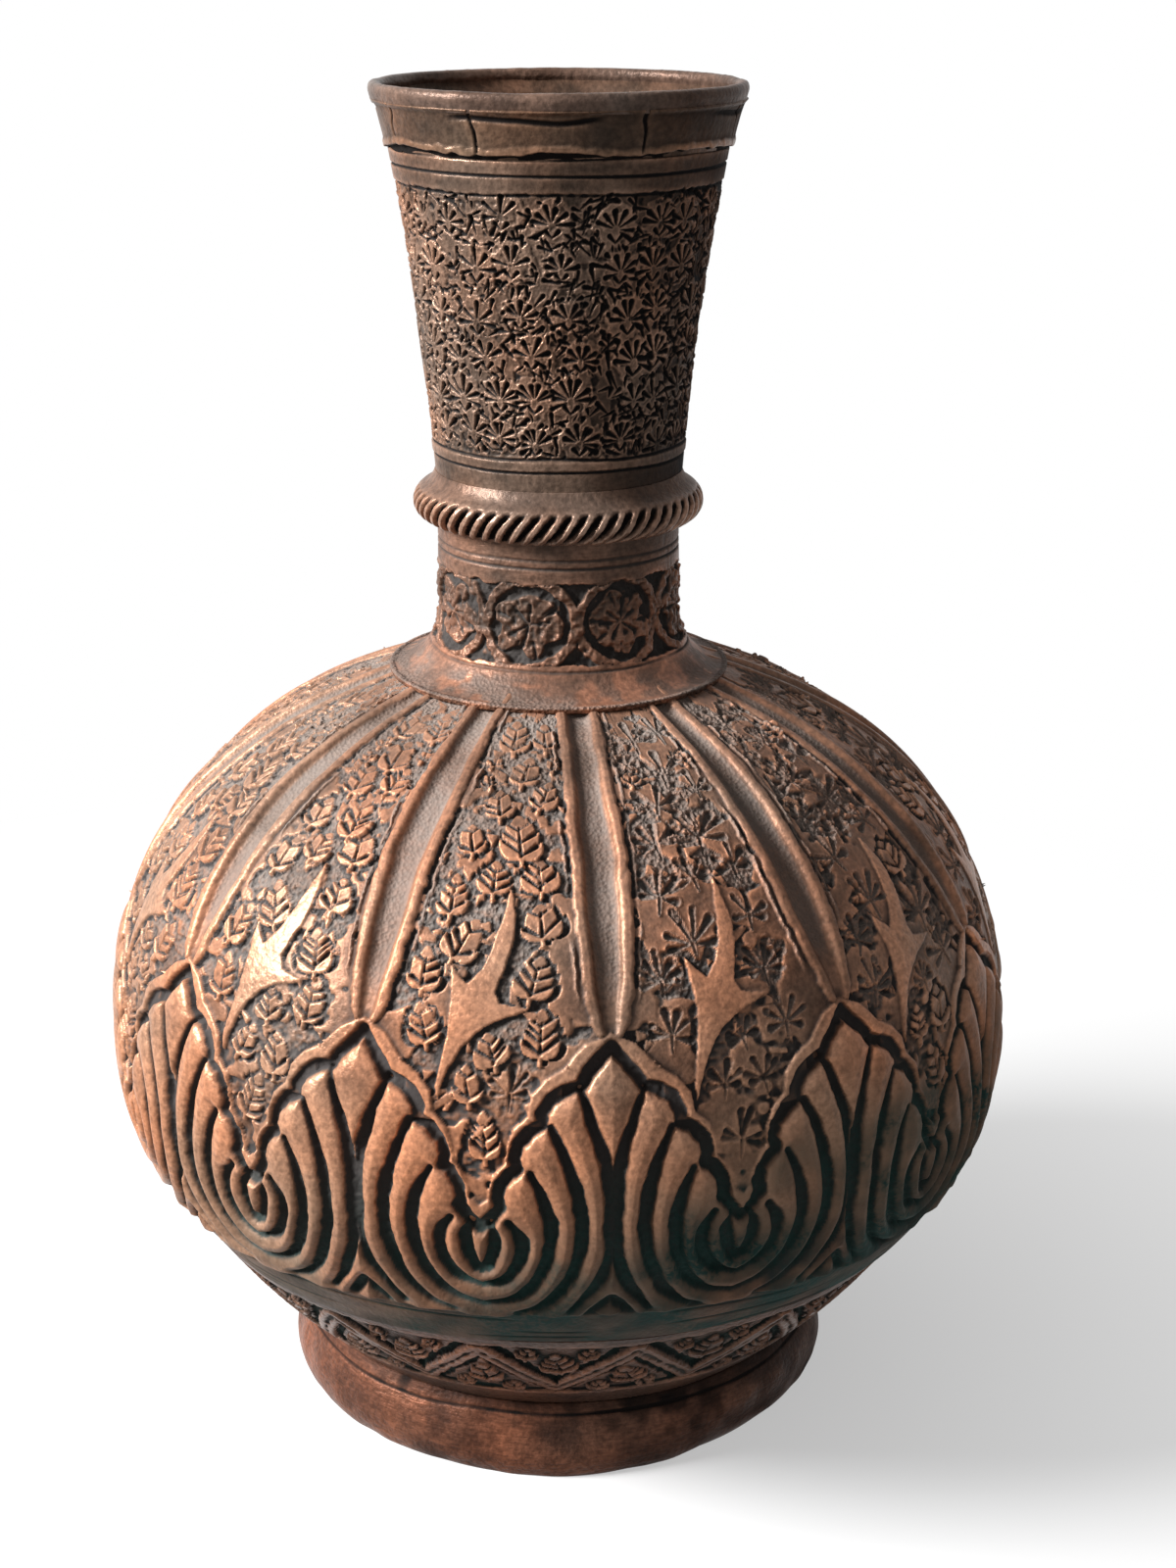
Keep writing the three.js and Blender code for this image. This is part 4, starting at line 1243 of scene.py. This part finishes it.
# %% Surface of the upper neck
torn = beaker.hills(1.1, 91)
torn_up = beaker.up + torn * 0.6
in_field = ease(torn_up, field_low - 0.2, field_low + 0.4)
in_field = in_field * fade(torn_up, field_high, field_high + 0.8)
chips = np.clip(beaker.hills(1.5, 92) + 0.5 * beaker.hills(0.7, 93) - 0.35, 0, 0.4)
gaps = 0.22 * ease(between + torn * 0.9, -0.1, 0.3)
beaker.lift += (carve(cut, 1.6, 0.55, 0.16) - 0.6 * chips - gaps - 0.1) * in_field
for line, depth in ((10.0, 0.35), (12.6, 0.35), (64.6, 0.35), (68.2, 0.4), (71.6, 0.3)):
    bend = beaker.hills(15, 94 + int(line)) * 0.3
    beaker.scribe(line, depth, bend, (0.08, 0.45), torn * 0.05)
beaker.lift += 0.2 * beaker.climb(9.8, 10.4) * fade(beaker.up, 12, 12.6)
beaker.scribe(72.2, 0.7, beaker.hills(9, 99) * 0.5, (0.3, 0.9))
# This also paints shade on the side away from the lamp.
mark_hollows(beaker, 1.4, 4.0, side_shade_share=0.65)
beaker.marks["hollow"] = unit(beaker.marks["hollow"] * 1.2)
beaker.lift += beaker.hills(16, 97) * 0.18 + beaker.hills(6, 98) * 0.06
beaker.lift -= 0.75 * beaker.climb(74.5, 75.5)
beaker.marks["ground"] = 0.3 * in_field
put_in_place("leaf_field_neck", beaker, "upper_neck", copper_finish(
    "neck copper", colour(160, 122, 100), colour(72, 58, 49), dirt_and_shade_colour=colour(30, 28, 28), rub=0.7,
    dust=0.1, dirt_and_shade_reach=1.5))

# %% [markdown]
# ## The rim
# A strip is lapped round the mouth. Its lower edge is torn, and its joints have opened into thin
# cracks.

# %% Rim strip
band_foot = level("rim_band", 0)
strip_half = 0.45
above = neck_curve[:, 1] > band_foot - 2.0
strip_outside = (neck_curve + curve_out * strip_half)[above]
strip_back = (neck_curve - curve_out * strip_half)[above][::-40]
strip = Sheet(strip_outside, strip_back, row_gap=0.16, column_gap=0.24)
strip_end = strip.run[-1]
torn_edge = 1.7 + strip.hills(13, 101) + strip.hills(1.8, 102) * 0.3
past_edge = strip.up - torn_edge
strip.lift -= 0.8 * fade(past_edge, -0.05, 0.3)
strip.lift += 0.3 * fade(np.abs(past_edge - 0.7), 0.2, 1.2)
for crack in (-62, -27, 27, 74, 121, 158, -151, -106):
    at, x, y = strip.patch(crack, 6, 0, 12)
    bend = strip.hills(3, 103 + abs(crack))[at]
    strip.lift[at] -= 0.5 * fade(np.abs(x + bend), 0.05, 0.45) * ease(y, torn_edge[at], 2.4)
pressed = 0.5 * ease(strip.hills(14, 106), -0.2, 0.4)
strip.scribe(strip_end - 2.1, pressed, strip.hills(9, 105) * 0.9, (0.1, 0.9))
strip.lift += 0.25 * strip.climb(strip_end - 1.2, strip_end)
# This also paints shade on the side away from the lamp.
mark_hollows(strip, side_shade_share=0.5)
strip.lift += strip.hills(10, 104) * 0.2 + strip.hills(3, 107) * 0.06
strip.mark("hollow", 0.9 * fade(past_edge, -0.3, 0.5))
put_in_place("lapped_strip", strip, "rim_band", copper_finish(
    "rim copper", colour(138, 104, 82), colour(68, 54, 45), rub=0.65, dust=0.12,
    dirt_and_shade_reach=1.4))

# %% [markdown]
# A round wire finishes the lip, hammered a little flat in places.

# %% Lip wire
lip_foot, lip_top = level("lip_wire", 0), level("lip_wire", 1)
lip_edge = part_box("lip_wire")[1][0] / MM
strip_edge = mouth_radius + strip_half
lip_line = through([(strip_edge - 0.3, mouth_level - 0.9), (strip_edge + 0.1, lip_foot),
                    (lip_edge, lip_foot + 1.3), (lip_edge - 0.4, lip_top - 0.35),
                    (lip_edge - 1.4, lip_top), (lip_edge - 2.4, lip_top - 0.4),
                    (lip_edge - 2.8, lip_foot + 1.3), (lip_edge - 2.6, lip_foot + 0.2)], 8)
lip = Sheet(lip_line, [(strip_edge - 1.4, mouth_level - 0.8)], row_gap=0.15, column_gap=0.3)
lip.lift -= unit(lip.hills(9, 111)) * 0.25 + np.abs(lip.hills(2.5, 112)) * 0.08
# This also paints shade on the side away from the lamp.
mark_hollows(lip, 1.0, 2.0, side_shade_share=0.2)
put_in_place("lip_bead", lip, "lip_wire", copper_finish(
    "lip copper", colour(140, 116, 103), colour(78, 62, 54), rub=0.75, dust=0.1))

# %% [markdown]
# The floor of the vase lies inside the foot and hardly shows. Its solid has the right shape, so it
# keeps it and only takes a dark, dusty finish.

# %% Floor disc
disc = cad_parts["base_disc"]
disc.data.materials.clear()
disc.data.materials.append(copper_finish(
    "floor copper", colour(128, 88, 68), colour(84, 62, 50), rub=0.5, dust=0.5, dents=2.0))

# %% [markdown]
# ## Studio
# A pale floor that keeps the shadow near the vase and turns into plain white away from it.

# %% Floor
def seen_directly(tree):
    """1 for what the camera, a reflection or glass sees, 0 for light that falls on things."""
    path = add(tree, "ShaderNodeLightPath").outputs
    either = math_node(tree, "MAXIMUM", path["Is Camera Ray"], path["Is Glossy Ray"])
    return math_node(tree, "MAXIMUM", either, path["Is Transmission Ray"])


floor_half = 4.0
floor_mesh = bpy.data.meshes.new("floor")
signs = ((-1, -1), (1, -1), (1, 1), (-1, 1))
floor_mesh.from_pydata([(x * floor_half, y * floor_half, 0) for x, y in signs], [], [(0, 1, 2, 3)])
floor = bpy.data.objects.new("floor", floor_mesh)
bpy.context.collection.objects.link(floor)

paper = bpy.data.materials.new("pale paper")
tree = emptied(paper)
place = add(tree, "ShaderNodeTexCoord").outputs["Object"]
away = add(tree, "ShaderNodeVectorMath", {0: place}, operation="LENGTH").outputs["Value"]
faded = product(tree, remap(tree, away, 0.05, 0.4, 0.45), seen_directly(tree))
shade = blend_colours(tree, seen_directly(tree), (0.18, 0.18, 0.18, 1), (0.92, 0.92, 0.92, 1))
matt = add(tree, "ShaderNodeBsdfDiffuse", {"Color": shade})
white = add(tree, "ShaderNodeEmission", {"Color": (1, 1, 1, 1), "Strength": 1.0})
mixed = add(tree, "ShaderNodeMixShader", {0: faded, 1: matt.outputs[0], 2: white.outputs[0]})
add(tree, "ShaderNodeOutputMaterial", {"Surface": mixed.outputs[0]})
floor_mesh.materials.append(paper)

# %% [markdown]
# A large soft lamp stands at the upper left as in the picture, and a weak one in front gives the
# light that a room throws back. An even sky fills the rest: it is plain white where the camera or a
# reflection sees it, and dimmer as a lamp.

# %% Sky and lamps
scene = bpy.context.scene
scene.view_settings.view_transform = "Standard"
world = bpy.data.worlds.new("even sky")
scene.world = world
tree = emptied(world)
sky_light = 0.1
strength = blend_values(tree, seen_directly(tree), sky_light, 1.0)
sky = add(tree, "ShaderNodeBackground", {"Color": (1, 1, 1, 1), "Strength": strength})
add(tree, "ShaderNodeOutputWorld", {"Surface": sky.outputs[0]})


def soft_lamp(name, place, aim, size, power):
    data = bpy.data.lights.new(name, "AREA")
    data.shape = "DISK"
    data.size = size
    data.energy = power
    lamp = bpy.data.objects.new(name, data)
    lamp.location = place
    way = np.array(aim) - np.array(place)
    heading = math.atan2(way[1], way[0]) - math.pi / 2
    lamp.rotation_euler = (math.acos(-way[2] / np.linalg.norm(way)), 0, heading)
    lamp.visible_camera = False
    bpy.context.collection.objects.link(lamp)


vase_middle = (0, 0, 0.15)
soft_lamp("window", (-1.4, -0.35, 1.0), vase_middle, 0.7, 78)
soft_lamp("reflector", (0.1, -1.6, 0.9), vase_middle, 0.8, 1.5)
